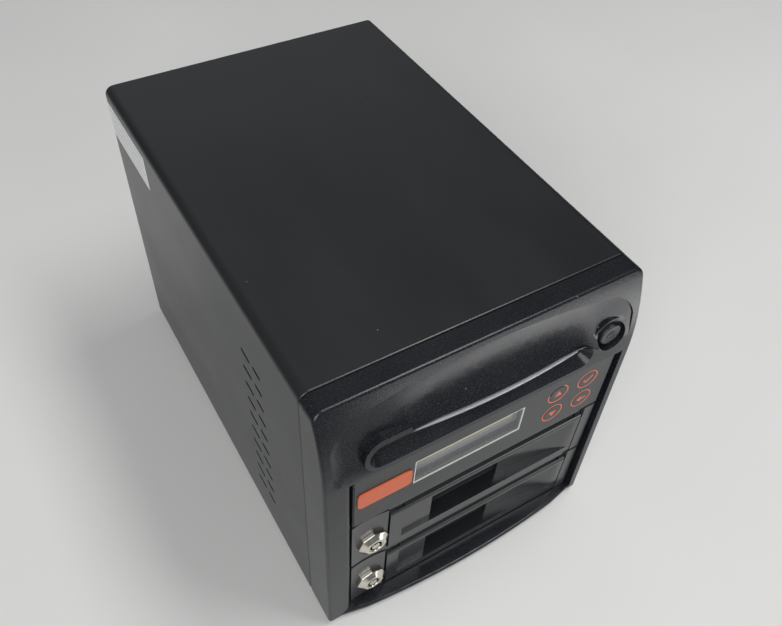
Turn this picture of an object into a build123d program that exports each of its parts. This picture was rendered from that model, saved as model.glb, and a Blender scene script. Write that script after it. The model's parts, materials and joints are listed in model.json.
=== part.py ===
from build123d import *
import math
import os

# Desktop hard drive duplicator, one drive to one drive.
# Millimetres. +X is the right-hand side seen from the front, the front faces -Y, +Z is up.
# The origin is at the middle of the bounding box's bottom, on the surface the feet stand on.

# Overall sizes
shell_width = 167.0
shell_height = 177.0
shell_length = 233.0
foot_height = 4.0
bezel_depth = 20.9
sill_reach = 27.2
rear_reach = 3.6
sheet = 1.0
sheet_gap = 0.2
top_corner_radius = 5.0

# Running clearances
slide_gap = 0.3
moving_gap = 0.35
pin_gap = 0.05

# Bezel
bezel_wall = 2.6
bezel_lean = 1.8
brow_start = 128.0
brow_setback = 10.1
bezel_edge_radius = 1.6
seam_groove = 0.6
spigot_length = 4.0
spigot_wall = 1.6
sill_thickness = 2.4
sill_end_inset = 19.5
sill_bow_half = 62.0
sill_bow_depth = 3.4
scoop_half_width = 79.0
scoop_top = 174.0
scoop_shoulder = 167.5
scoop_bottom = 147.3
scoop_depth = 3.8
scoop_middle_depth = 5.0
scoop_left_run = 16.0
scoop_right_run = 34.0
scoop_end_reach = 9.0
ledge_step = 0.2
scoop_left_turn = 22.0
scoop_right_turn = 16.0
scoop_left_drop = 16.0
scoop_right_drop = 9.0
scoop_stations = 31
bulge_radius = 400.0
bulge_x = 5.0
bulge_depth = 18.9
groove_left = -62.0
groove_right = 58.0
groove_low = 132.5
groove_high = 147.0
groove_depth = 4.8
groove_wall_run = 3.4
groove_rim = 2.2
slot_left = -39.5
slot_right = 48.8
slot_height = 2.2
slot_depth = 6.2
slot_lip_height = 2.2
slot_lip_round = 0.95
slot_hook = 1.8
pillar_round = 2.6
sill_round = 1.2

# Power button
button_x = 68.6
button_z = 144.0
button_diameter = 12.4
button_recess_diameter = 15.8
button_recess_depth = 4.2
button_sink = 2.2
button_collar_radius = 9.6
button_collar_lip = 0.2
button_flange_radius = 7.4
recess_floor_thickness = 1.6
button_travel = 1.8
switch_size = 12.0
switch_depth = 8.0
switch_plate = 1.2
switch_plate_size = 18.0
symbol_height = 0.3

# Bays
bay_count = 3
bay_pitch = 42.35
bay_face_gap = 1.1
bay_left = -70.5
bay_width = 149.2
bay_wall = 1.6
panel_inset = 1.5
panel_width = 145.0
panel_recess = 1.6
panel_plate = 3.0
cage_top_gap = 1.0
cage_setback = 0.8
cage_rear_inset = 20.0
cage_flange = 5.2
rack_screw_rise = 10.0
rack_screw_run = (30.0, 110.0)

# Control panel
carrier_floor_w = 2.2
carrier_wall = 28.0
window_x = -7.4
window_rise = 1.8
window_width = 60.4
window_height = 18.6
window_thickness = 1.2
window_lap = 1.8
window_gap = 0.15
window_chamfer = 0.3
display_gap = 3.5
panel_rim = 1.8
panel_rim_depth = 14.0
overlay_thickness = 0.4
overlay_inset = 0.6
display_frame_width = 69.5
display_frame_height = 26.0
display_frame_depth = 7.0
display_board_width = 80.0
display_board_inset = 2.85
board_thickness = 1.6
key_column_x = (43.3, 61.7)
key_row_rise = (-8.0, 7.7)
key_diameter = 10.4
key_travel = 0.8
key_flange = 1.0
key_board_gap = 9.0
key_board_width = 36.0
key_board_height = 34.0
badge_x = -53.0
badge_rise = 1.2
badge_width = 28.0
badge_height = 12.0
badge_thickness = 0.8

# Drive racks
rack_body_width = 141.4
rack_body_depth = 178.0
rack_wall = 1.5
rack_floor_w = 0.9
rack_floor = 1.2
rack_top_clear = 1.85
lock_block_width = 19.7
tray_gap_left = 1.3
tray_gap_right = 0.8
right_strip_width = 6.4
fascia_depth = 18.0
guide_setback = 3.0
tray_front_gap = 0.5
top_strip_drop = 5.05
top_strip_front = 1.6
top_strip_back = 6.0
handle_low_w = 0.9
handle_top_gap = 0.6
handle_thickness = 8.2
handle_pivot_drop = 4.1
handle_pin_radius = 1.0
dent_left_inset = 7.3
dent_right_inset = 2.8
dent_low_w = 6.2
dent_top_inset = 5.2
dent_depth = 6.3
label_window_depth = 1.6
pocket_left_inset = 25.1
pocket_width = 45.0
pocket_depth = 9.0
ear_width = 4.0
ear_inset = 6.0
ear_radius = 2.8
tray_width = 114.6
tray_floor_w = 2.9
tray_wall = 1.5
tray_wall_drop = 12.35
tray_rear_v = 168.0
drive_screw_x = 44.0
drive_screw_run = (40.0, 84.0)
drive_screw_hole = 3.6
tray_vent_run = (30.0, 62.0, 94.0)

# Key locks
lock_inset = 11.8
lock_w = 17.0
lock_head_flat = 15.6
lock_head_front = 10.6
lock_head_height = 3.2
lock_head_rim = 1.0
lock_seat_depth = 0.8
lock_barrel_radius = 5.4
lock_core_radius = 3.9
lock_tail = 3.2
cam_length = 6.6
cam_thickness = 1.5
cam_width = 6.0
switch_cam_gap = 0.8

# Drive connectors
plug_width = 40.0
plug_height = 7.0
plug_low_w = 9.0
socket_depth = 9.0
plug_engage = 4.0

# Side slots in the cover
slot_rows = 10
slot_row_pitch = 12.4
slot_row_low = 28.5
slot_columns = ((56.8, 9.4), (45.0, 8.0))
side_slot_height = 2.4
side_slot_tilt = 6.0

# Rear
fan_size = 80.0
fan_depth = 25.0
fan_bore = 76.0
fan_hole_spacing = 71.5
fan_hub_diameter = 32.0
fan_blades = 7
fan_blade_pitch = 32.0
fan_shaft_radius = 3.0
fan_spider = 3.0
fan_centre_x = 3.5
fan_centre_z = 62.0
guard_wire = 1.4
guard_thickness = 1.4
psu_width = 81.5
psu_top_gap = 4.05
psu_length = 150.0
psu_x = 29.0
psu_fan_size = 36.0
psu_fan_inset = 21.0
psu_fan_hub = 16.0
psu_hub_depth = 3.0
psu_rotor_depth = 10.0
inlet_inset = 22.0
inlet_width = 34.0
inlet_height = 25.0
inlet_rim = 1.5
inlet_proud = 2.0
socket_shift = 5.0
rocker_shift = 11.4
rocker_width = 8.0
rocker_height = 15.0
rocker_swing = 20.0
rear_lip = 9.0
top_screw_drop = 3.4
top_screw_x = 45.0
side_screw_rise = 20.0
side_screw_pitch = 80.0
pan_edge_height = 14.0
pan_rear_height = 12.0
vent_pitch = 7.0
vent_width = 3.0
psu_screw_inset = 4.5
psu_screw_low = 3.3
psu_screw_high = 6.8

# Fasteners
screw_radius = 1.45
screw_head_radius = 2.8
screw_head_height = 1.7
screw_length = 6.0
foot_radius = 8.0
foot_screw_radius = 1.9
foot_cage_gap = 0.1
foot_screw_reach = 2.6
foot_inset_y = 18.0

# Cables
cable_radius = 2.6
power_cable_radius = 3.2
rack_power_x = -54.0
ribbon_width = 20.0
ribbon_thickness = 1.2

# Places worked out from the sizes
overall_depth = sill_reach + shell_length + rear_reach
seam_y = sill_reach - overall_depth / 2
rear_y = seam_y + shell_length
base_z = foot_height
top_z = base_z + shell_height
half_width = shell_width / 2
inner_half = half_width - sheet
bay_right = bay_left + bay_width
bay_floor_z = base_z + sill_thickness
bay_top_z = bay_floor_z + bay_count * bay_pitch
panel_left = bay_left + panel_inset
panel_right = panel_left + panel_width
panel_front_y = seam_y - bezel_depth + bezel_lean + panel_recess
panel_mid_x = (panel_left + panel_right) / 2
panel_height = bay_pitch - bay_face_gap
panel_low_gap = bay_face_gap / 2
rack_top_w = bay_pitch - rack_top_clear
top_strip_low_w = bay_pitch - top_strip_drop
handle_high_w = top_strip_low_w - handle_top_gap
dent_high_w = handle_high_w - dent_top_inset
tray_wall_high_w = bay_pitch - tray_wall_drop
rack_left = panel_mid_x - rack_body_width / 2
rack_right = panel_mid_x + rack_body_width / 2
cage_left = rack_left - slide_gap - sheet
cage_right = rack_right + slide_gap + sheet
tray_hole_left = panel_left + lock_block_width
tray_hole_right = panel_right - right_strip_width
handle_left = tray_hole_left + tray_gap_left
handle_right = tray_hole_right - tray_gap_right
tray_left = (handle_left + handle_right) / 2 - tray_width / 2
tray_right = tray_left + tray_width
guide_left = tray_left - slide_gap
guide_right = tray_right + slide_gap
handle_pivot_v = handle_thickness / 2
handle_pivot_w = handle_high_w - handle_pivot_drop
tray_front_v = handle_thickness + slide_gap
tray_front_depth = fascia_depth + guide_setback - tray_front_gap - tray_front_v
lock_x = panel_left + lock_inset
rear_panel_y = rear_y - sheet - sheet_gap - sheet
fan_front_y = rear_panel_y - fan_depth
psu_left = psu_x - psu_width / 2
psu_right = psu_x + psu_width / 2
psu_low_z = bay_top_z + cage_top_gap + sheet
psu_height = top_z - sheet - psu_top_gap - psu_low_z
psu_front_y = rear_panel_y - psu_length
control_low_z = bay_floor_z + 2 * bay_pitch
control_mid_z = control_low_z + bay_pitch / 2
display_board_height = panel_height - 2 * display_board_inset


def block(x0, x1, y0, y1, z0, z1):
    """A box between two corners."""
    return Pos((x0 + x1) / 2, (y0 + y1) / 2, (z0 + z1) / 2) * Box(x1 - x0, y1 - y0, z1 - z0)


def block_at(x, z, width, height, y0, y1):
    """A box given by its centre and size from the front."""
    return block(x - width / 2, x + width / 2, y0, y1, z - height / 2, z + height / 2)


def rod_x(radius, x0, x1, y, z):
    """A round rod along X."""
    return Pos((x0 + x1) / 2, y, z) * Rot(0, 90, 0) * Cylinder(radius, x1 - x0)


def rod_y(radius, x, y0, y1, z):
    """A round rod along Y."""
    return Pos(x, (y0 + y1) / 2, z) * Rot(90, 0, 0) * Cylinder(radius, y1 - y0)


def rod_z(radius, x, y, z0, z1):
    """A round rod along Z."""
    return Pos(x, y, (z0 + z1) / 2) * Cylinder(radius, z1 - z0)


def front_prism(sketch, y0, y1):
    """A face drawn from the front (X, Z), pushed from y0 to y1."""
    return Pos(0, y1, 0) * extrude(Plane.XZ * sketch, amount=y1 - y0)


def side_prism(sketch, x0, x1):
    """A face drawn from the side (Y, Z), pushed from x0 to x1."""
    return Pos(x0, 0, 0) * extrude(Plane.YZ * sketch, amount=x1 - x0)


def plan_prism(sketch, z0, z1):
    """A face drawn from above (X, Y), pushed from z0 to z1."""
    return Pos(0, 0, z0) * extrude(sketch, amount=z1 - z0)


def shell_outline(inset):
    """The machine's outline from the front, with rounded top corners, moved in by inset."""
    width = shell_width - 2 * inset
    height = shell_height - 2 * inset
    outline = Pos(0, base_z + shell_height / 2) * Rectangle(width, height)
    radius = max(top_corner_radius - inset, 0.5)
    return fillet(outline.vertices().group_by(Axis.Y)[-1], radius)


def lower_half(inset):
    """The outline cut square at the bottom, so that a skin is open below."""
    low = Pos(0, base_z + inset / 2) * Rectangle(shell_width - 2 * inset, 3 * inset + 0.2)
    return shell_outline(inset) + low


def solids_of(shapes):
    """Several separate solids kept together in one node."""
    return Compound(children=[solid for shape in shapes for solid in shape.solids()])


# Cover, chassis and cage


def side_slots(side):
    """The slots of one side of the cover, as cutters."""
    cutters = []
    for centre, length in slot_columns:
        for row in range(slot_rows):
            z = base_z + slot_row_low + row * slot_row_pitch
            slot = Rot(0, 0, side_slot_tilt) * SlotOverall(length, side_slot_height)
            face = Pos(seam_y + centre, z) * slot
            middle = side * (half_width - sheet / 2)
            cutters.append(side_prism(face, middle - 2 * sheet, middle + 2 * sheet))
    return cutters


def top_cover():
    """Folded steel cover: top and two sides, with a turned-in lip at the rear."""
    front = seam_y + seam_groove
    skin = shell_outline(0) - lower_half(sheet)
    cover = front_prism(skin, front, rear_y)
    lip = shell_outline(sheet / 2) - lower_half(rear_lip)
    cover += front_prism(lip, rear_y - sheet, rear_y)
    for side in (-1, 1):
        for cutter in side_slots(side):
            cover -= cutter
    for x, z in rear_screw_places():
        cover -= rod_y(screw_radius + 0.15, x, rear_y - 2 * sheet, rear_y + sheet, z)
    return cover


def rear_screw_places():
    """Centres of the screws that hold the cover's rear lip."""
    x = half_width - rear_lip / 2
    low = base_z + side_screw_rise
    high = top_z - top_screw_drop
    sides = [(side * x, z) for side in (-1, 1) for z in (low, low + side_screw_pitch)]
    return sides + [(side * top_screw_x, high) for side in (-1, 1)]


def foot_places():
    """Centres of the four feet."""
    x = foot_screw_radius + foot_cage_gap - cage_left
    ys = (seam_y + foot_inset_y, rear_y - foot_inset_y)
    return [(side * x, y) for side in (-1, 1) for y in ys]


def base_chassis():
    """Steel pan under everything, with upturned edges inside the cover."""
    half = inner_half - sheet_gap
    front = seam_y + spigot_length + 1.0
    back = rear_panel_y - sheet_gap
    pan = block(-half, half, front, back, base_z, base_z + sheet)
    for side in (-1, 1):
        x0, x1 = sorted((side * half, side * (half - sheet)))
        pan += block(x0, x1, front, back, base_z, base_z + pan_edge_height)
    pan += block(-half, half, back - sheet, back, base_z, base_z + pan_rear_height)
    for x, y in foot_places():
        pan -= rod_z(foot_screw_radius, x, y, base_z - 1, base_z + 2 * sheet)
    for x in vent_row(0, 13):
        for y in (seam_y + 90, seam_y + 120):
            pan -= plan_prism(Pos(x, y) * upright_vent(20), base_z - 1, base_z + 2 * sheet)
    return pan


def vent_row(middle, count):
    """X centres of a row of cooling slots."""
    return [middle + vent_pitch * (i - (count - 1) / 2) for i in range(count)]


def upright_vent(length):
    """One cooling slot, its length along the sketch's Y."""
    return Rot(0, 0, 90) * SlotOverall(length, vent_width)


def rear_panel():
    """Steel back plate with the fan, power supply and slot openings."""
    half = inner_half - sheet_gap
    low = base_z + sheet + sheet_gap
    high = top_z - sheet - sheet_gap
    y0 = rear_panel_y
    y1 = rear_panel_y + sheet
    outline = Pos(0, (low + high) / 2) * Rectangle(2 * half, high - low)
    outline = fillet(outline.vertices().group_by(Axis.Y)[-1], top_corner_radius)
    plate = front_prism(outline, y0, y1)
    plate -= rod_y(fan_bore / 2 - 1, fan_centre_x, y0 - 1, y1 + 1, fan_centre_z)
    for x, z in fan_screw_places():
        plate -= rod_y(screw_radius, x, y0 - 1, y1 + 1, z)
    plate -= rod_y(psu_fan_size / 2, psu_left + psu_fan_inset, y0 - 1, y1 + 1, psu_low_z + psu_height / 2)
    rim = 2 * (inlet_rim + sheet_gap)
    plate -= block_at(inlet_x(), inlet_z(), inlet_width + rim, inlet_height + rim, y0 - 1, y1 + 1)
    for x, z in psu_screw_places():
        plate -= rod_y(screw_radius, x, y0 - 1, y1 + 1, z)
    for x, z in rear_screw_places():
        plate -= rod_y(screw_radius, x, y0 - 1, y1 + 1, z)
    for x in vent_row((psu_left - half) / 2, 8):
        plate -= front_prism(Pos(x, psu_low_z + psu_height / 2) * upright_vent(26), y0 - 1, y1 + 1)
    return plate


def fan_screw_places():
    """Centres of the exhaust fan's four screws."""
    reach = fan_hole_spacing / 2
    return [(fan_centre_x + a * reach, fan_centre_z + b * reach) for a in (-1, 1) for b in (-1, 1)]


def psu_screw_places():
    """Centres of the three screws that hold the power supply."""
    left = psu_left + psu_screw_inset
    right = psu_right - psu_screw_inset
    low = psu_low_z + psu_screw_low
    return [(left, low), (right, low), (left, psu_low_z + psu_height - psu_screw_high)]


def rack_screw_places():
    """Y and Z centres of the screws through the cage's sides."""
    levels = [bay_floor_z + level * bay_pitch + rack_screw_rise for level in range(bay_count)]
    return [(seam_y + run, z) for z in levels for run in rack_screw_run]


def bay_cage():
    """Steel cage around the three bays, folded from one sheet, open at the front and rear."""
    front = seam_y + cage_setback
    back = seam_y + rack_body_depth - cage_rear_inset
    low = base_z + sheet
    high = bay_top_z + cage_top_gap + sheet
    width = cage_right - cage_left
    mid_x = (cage_left + cage_right) / 2
    outer = Pos(mid_x, (low + high) / 2) * Rectangle(width, high - low)
    inner = Pos(mid_x, (low + high) / 2 - sheet) * Rectangle(width - 2 * sheet, high - low)
    cage = front_prism(outer - inner, front, back)
    flange_y = (front + 20, back - 20)
    cage += block(cage_left - cage_flange, cage_left + sheet, *flange_y, low, low + sheet)
    cage += block(cage_right - sheet, cage_right + cage_flange, *flange_y, low, low + sheet)
    side_window = 24.0
    window_low = low + 12.0
    window_high = low + 0.8 * (bay_top_z - low)
    for y in (seam_y + 70, seam_y + 140):
        window_y = (y - side_window / 2, y + side_window / 2)
        cage -= block(cage_left - 1, cage_right + 1, *window_y, window_low, window_high)
    for x in (mid_x - 50, mid_x, mid_x + 50):
        hole = Pos(x, seam_y + 34) * RectangleRounded(34, 40, 4)
        cage -= plan_prism(hole, high - 2 * sheet, high + sheet)
    for y, z in rack_screw_places():
        cage -= rod_x(screw_radius, cage_left - 1, cage_left + 2 * sheet, y, z)
        cage -= rod_x(screw_radius, cage_right - 2 * sheet, cage_right + 1, y, z)
    return cage


# Front bezel


def bezel_profile(inset, floor_inset):
    """Side view of the bezel: a slightly leaning front that curves back to the top edge."""
    front = seam_y - bezel_depth + inset
    low = base_z + floor_inset
    high = top_z - inset
    back = seam_y + 1.0 if inset else seam_y
    foot = (front, low)
    knee = (front + bezel_lean, base_z + brow_start)
    crest = (seam_y - brow_setback + inset, high)
    face_line = Line(foot, knee)
    brow = TangentArc(knee, crest, tangent=face_line % 1)
    edges = [face_line, brow, Line(crest, (back, high)), Line((back, high), (back, low))]
    return make_face(edges + [Line((back, low), foot)])


def bezel_front_at(z):
    """Y of the bezel's front face at height z, below the brow."""
    return seam_y - bezel_depth + bezel_lean * (z - base_z) / brow_start


def brow_y(z):
    """Y of the brow's outer face at height z, above the knee."""
    lean = math.atan(bezel_lean / brow_start)
    run = bezel_depth - bezel_lean - brow_setback
    rise = shell_height - brow_start
    radius = (run**2 + rise**2) / (2 * (run * math.cos(lean) - rise * math.sin(lean)))
    up = z - base_z - brow_start + radius * math.sin(lean)
    return bezel_front_at(base_z + brow_start) + radius * math.cos(lean) - math.sqrt(radius**2 - up**2)


def sill_outline(inset):
    """Plan of the bowed sill under the bays."""
    half = half_width - inset
    ends_y = seam_y - sill_end_inset + inset
    bow_y = seam_y - sill_reach + sill_bow_depth + inset
    tip_y = seam_y - sill_reach + inset
    bow = sill_bow_half - inset
    edges = [
        Line((-half, seam_y), (-half, ends_y)),
        Line((-half, ends_y), (-bow, bow_y)),
        ThreePointArc((-bow, bow_y), (0, tip_y), (bow, bow_y)),
        Line((bow, bow_y), (half, ends_y)),
        Line((half, ends_y), (half, seam_y)),
        Line((half, seam_y), (-half, seam_y)),
    ]
    return make_face(edges)


def bulge_y(x):
    """Y of the brow's bowed middle at x."""
    return seam_y - bulge_depth + (x - bulge_x) ** 2 / (2 * bulge_radius)


def bulge_prism(x0, x1, z0, z1):
    """Solid behind the brow's bowed front, between two X and two Z values."""
    back = seam_y - bezel_wall - 5
    edges = [
        ThreePointArc((x0, bulge_y(x0)), ((x0 + x1) / 2, bulge_y((x0 + x1) / 2)), (x1, bulge_y(x1))),
        Line((x1, bulge_y(x1)), (x1, back)),
        Line((x1, back), (x0, back)),
        Line((x0, back), (x0, bulge_y(x0))),
    ]
    return plan_prism(make_face(edges), z0, z1)


def groove_rim_prism(x0, x1):
    """Solid of the groove with the rim round it, seen from the front, between two X values."""
    centre_x = (groove_left + groove_right) / 2
    centre_z = base_z + (groove_low + groove_high) / 2
    width = groove_right - groove_left + 2 * groove_rim
    height = groove_high - groove_low + 2 * groove_rim
    rim = Pos(centre_x, centre_z) * SlotOverall(width, height)
    span = Pos((x0 + x1) / 2, centre_z) * Rectangle(x1 - x0, height)
    return front_prism(rim & span, seam_y - 2 * bezel_depth, seam_y)


def brow_island():
    """The part of the brow under the slot, bowed forward in the middle."""
    z0 = base_z + groove_low - groove_rim
    z1 = base_z + groove_high + groove_rim
    return bulge_prism(slot_left, slot_right, z0, z1) & groove_rim_prism(slot_left, slot_right)


def scoop_outline(low):
    """Front view of the long dish under the brow, down to the height low."""
    half = scoop_half_width
    spring = base_z + scoop_bottom + 6.6
    shoulder = base_z + scoop_shoulder
    corner = half * 0.85
    edges = [
        Line((-half, low), (-half, spring)),
        ThreePointArc((-half, spring), (-half + 3.6, shoulder - 6), (-corner, shoulder)),
        ThreePointArc((-corner, shoulder), (0, base_z + scoop_top), (corner, shoulder)),
        ThreePointArc((corner, shoulder), (half - 3.6, shoulder - 6), (half, spring)),
        Line((half, spring), (half, low)),
        Line((half, low), (-half, low)),
    ]
    return make_face(edges)


def ease(part):
    """Smooth step from 0 to 1, flat at both ends."""
    part = min(max(part, 0.0), 1.0)
    return part * part * (3 - 2 * part)


def scoop_section(x):
    """Side view of the dish at x: it fades out at both ends and turns down past the groove's ends."""
    ahead = seam_y - 2 * bezel_depth
    reach = scoop_half_width + scoop_end_reach
    deep = ease((reach + x) / scoop_left_run) * ease((reach - x) / scoop_right_run)
    left_turn = ease((slot_left - x) / scoop_left_turn)
    right_turn = ease((x - slot_right) / scoop_right_turn)
    low = base_z + scoop_bottom - left_turn * scoop_left_drop - right_turn * scoop_right_drop
    high = base_z + scoop_top
    middle = (low + high) / 2
    ledge_y = bulge_y(min(max(x, slot_left), slot_right))
    low_y = ledge_y + ledge_step + (left_turn + right_turn) * (brow_y(low) - ledge_y - 2 * ledge_step)
    top_y = brow_y(high) + deep * scoop_depth
    floor = ThreePointArc((low_y, low), (brow_y(middle) + deep * scoop_middle_depth, middle), (top_y, high))
    edges = [floor, Line((top_y, high), (ahead, high)), Line((ahead, high), (ahead, low))]
    face = make_face(edges + [Line((ahead, low), (low_y, low))])
    return Plane((x, 0, 0), x_dir=(0, 1, 0), z_dir=(1, 0, 0)) * face


def scoop_cutter():
    """The dish: a long hollow whose bottom follows the bow of the ledge, clear of the groove's left rim."""
    ahead = seam_y - 2 * bezel_depth
    outline = front_prism(scoop_outline(base_z + scoop_bottom - scoop_left_drop), ahead, seam_y)
    step = 2 * scoop_half_width / (scoop_stations - 1)
    sections = [scoop_section(i * step - scoop_half_width) for i in range(scoop_stations)]
    return (outline & loft(sections)) - groove_rim_prism(-half_width, slot_left - slot_hook)


def groove_cutter():
    """The long rounded groove under the dish, with sloping walls."""
    width = groove_right - groove_left
    height = groove_high - groove_low
    centre_x = (groove_left + groove_right) / 2
    centre_z = base_z + (groove_low + groove_high) / 2
    mouth_y = seam_y - bulge_depth
    mouth = Pos(centre_x, centre_z) * SlotOverall(width, height)
    floor = Pos(centre_x, centre_z) * SlotOverall(width - 2 * groove_wall_run, height - 2 * groove_wall_run)
    front_plane = Plane((0, mouth_y, 0), x_dir=(1, 0, 0), z_dir=(0, -1, 0))
    floor_plane = Plane((0, mouth_y + groove_depth, 0), x_dir=(1, 0, 0), z_dir=(0, -1, 0))
    taper = loft([front_plane * mouth, floor_plane * floor])
    return taper + front_prism(mouth, mouth_y - 6, mouth_y + 0.01)


def slot_low():
    """Bottom of the slot, on top of its lip."""
    return base_z + groove_high - 0.5 - slot_height


def slot_cutter():
    """The thin blind slot along the top of the groove."""
    y0 = seam_y - 2 * bezel_depth
    y1 = seam_y - bulge_depth + slot_depth
    return block(slot_left, slot_right, y0, y1, slot_low(), slot_low() + slot_height)


def slot_lip():
    """The bowed lip under the slot, hooked up at its left end."""
    z1 = slot_low()
    lip = bulge_prism(slot_left - slot_hook, slot_right, z1 - slot_lip_height, z1)
    lip = fillet(lip.edges().filter_by(GeomType.CIRCLE), slot_lip_round)
    return lip + bulge_prism(slot_left - slot_hook, slot_left, z1 - slot_lip_height / 2, z1 + slot_height)


def bay_surround():
    """Return walls round the bay opening, inside the bezel."""
    front = seam_y - bezel_depth + bezel_lean
    x0 = bay_left - bay_wall
    x1 = bay_right + bay_wall
    walls = block(x0, bay_left, front, seam_y, bay_floor_z, bay_top_z + bay_wall)
    walls += block(bay_right, x1, front, seam_y, bay_floor_z, bay_top_z + bay_wall)
    walls += block(x0, x1, front, seam_y, bay_top_z, bay_top_z + bay_wall)
    return walls


def button_y():
    """Front of the power button's cap at rest."""
    return bezel_front_at(base_z + button_z) + button_sink


def bezel_shell():
    """The bezel's outer skin with its rounded edges, hollow behind."""
    body = side_prism(bezel_profile(0, 0), -half_width, half_width)
    body = body & front_prism(shell_outline(0), seam_y - 2 * bezel_depth, seam_y + 2)
    rim = body.edges().filter_by_position(Axis.Y, seam_y - 2 * bezel_depth, seam_y - 1.0)
    rim = [edge for edge in rim if (edge @ 0.5).Z > base_z + 1.0]
    rim = [edge for edge in rim if abs((edge @ 0.5).X) > half_width - 6 or (edge @ 0.5).Z > top_z - 1]
    body = fillet(rim, bezel_edge_radius)
    hollow = side_prism(bezel_profile(bezel_wall, sill_thickness), -half_width, half_width)
    hollow = hollow & front_prism(shell_outline(bezel_wall), seam_y - 2 * bezel_depth, seam_y + 2)
    backing = side_prism(bezel_profile(bezel_wall + scoop_depth, sill_thickness), -half_width, half_width)
    upper = block(-half_width, half_width, seam_y - 40, seam_y + 2, bay_top_z, top_z)
    return body - ((hollow - upper) + (hollow & backing & upper))


def bezel_sill():
    """The bowed sill with a rounded front edge."""
    sill = plan_prism(sill_outline(0), base_z, bay_floor_z)
    front = [e for e in sill.edges().group_by(Axis.Z)[-1] if (e @ 0.5).Y < seam_y - sill_end_inset]
    return fillet(front, sill_round)


def front_bezel():
    """Moulded front: skin, bay opening, dish, groove, slot, button recess and sill."""
    body = bezel_shell()
    body += bay_surround() & side_prism(bezel_profile(0.4, 0), -half_width, half_width)
    body += bezel_sill()
    body -= block(bay_left, bay_right, seam_y - 40, seam_y + 1, bay_floor_z, bay_top_z)
    body = fillet(pillar_edge(body), pillar_round)
    body += brow_island()
    body -= scoop_cutter()
    body -= groove_cutter()
    body += slot_lip()
    body -= slot_cutter()
    z = base_z + button_z
    recess_floor = button_y() + button_recess_depth - button_sink
    hole_back = recess_floor + recess_floor_thickness
    body += rod_y(button_collar_radius, button_x, recess_floor - button_collar_lip, hole_back, z)
    body -= rod_y(button_recess_diameter / 2, button_x, seam_y - 40, recess_floor, z)
    body -= rod_y(button_diameter / 2 + moving_gap, button_x, seam_y - 40, seam_y, z)
    body -= rod_y(button_flange_radius + moving_gap, button_x, hole_back, seam_y, z)
    return body + bezel_spigot()


def pillar_edge(body):
    """The front vertical edge of the wide left pillar, beside the bays."""
    edges = []
    for edge in body.edges():
        middle = edge @ 0.5
        upright = edge.length > 0.8 * (bay_top_z - bay_floor_z)
        if upright and abs(middle.X - bay_left) < 0.01 and middle.Y < seam_y - bezel_depth + bezel_lean:
            edges.append(edge)
    return edges


def bezel_spigot():
    """Thin rim behind the seam that slips inside the cover."""
    inset = sheet + sheet_gap
    ring = shell_outline(inset) - lower_half(inset + spigot_wall)
    ring = front_prism(ring, seam_y - 0.01, seam_y + spigot_length)
    return ring - block(-half_width, half_width, seam_y - 1, seam_y + 20, base_z - 1, base_z + 16)


def power_symbol(radius, y0, y1, x, z):
    """An open ring with a bar at the top."""
    ring = Circle(radius) - Circle(radius - 0.7)
    ring -= Pos(0, radius) * Rectangle(1.8, radius * 1.2)
    bar = Pos(0, radius * 0.62) * Rectangle(0.7, radius * 0.9)
    return front_prism(Pos(x, z) * (ring + bar), y0, y1)


def power_button():
    """Round cap with a raised symbol, a retaining flange and a plunger."""
    z = base_z + button_z
    front = button_y()
    hole_back = front + button_recess_depth - button_sink + recess_floor_thickness
    flange_front = hole_back + slide_gap
    radius = button_diameter / 2
    cap = rod_y(radius, button_x, front, flange_front + 1.2, z)
    cap = fillet(cap.edges().group_by(Axis.Y)[0], 1.0)
    flange = rod_y(button_flange_radius, button_x, flange_front, flange_front + 1.2, z)
    plunger = rod_y(2.0, button_x, flange_front + 1.2, switch_front_y() - button_travel - 0.1, z)
    symbol = power_symbol(radius * 0.42, front - symbol_height, front + 0.5, button_x, z)
    return cap + flange + plunger + symbol


def switch_front_y():
    """Front face of the power button's switch."""
    return seam_y - 1.0


def power_switch():
    """Push switch behind the power button, on a small bracket from the bay surround."""
    z = base_z + button_z
    front = switch_front_y()
    back = front + switch_depth
    plate_back = back + switch_plate
    low = bay_top_z + cage_top_gap + sheet
    half = switch_plate_size / 2
    unit = block_at(button_x, z, switch_size, switch_size, front, back)
    unit += block_at(button_x, z, switch_plate_size, switch_plate_size, back, plate_back)
    unit += block(button_x - half, button_x + half, back, plate_back, low, z)
    unit += block(button_x - half, button_x + half, front + 1, plate_back, low, low + sheet)
    for x in (button_x - switch_size / 4, button_x + switch_size / 4):
        unit += block_at(x, z, 1.0, 2.0, plate_back, plate_back + 4)
    return unit


# Control panel


def key_places():
    """Names and centres (X, Z) of the four keys."""
    left, right = key_column_x
    low, high = (control_mid_z + rise for rise in key_row_rise)
    return {
        "up_key": (left, high),
        "down_key": (left, low),
        "confirm_key": (right, high),
        "back_key": (right, low),
    }


def key_hole_radius():
    """Radius of a key's hole in the panel."""
    return key_diameter / 2 + moving_gap


def window_z():
    """Middle height of the display window."""
    return control_mid_z + window_rise


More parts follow.
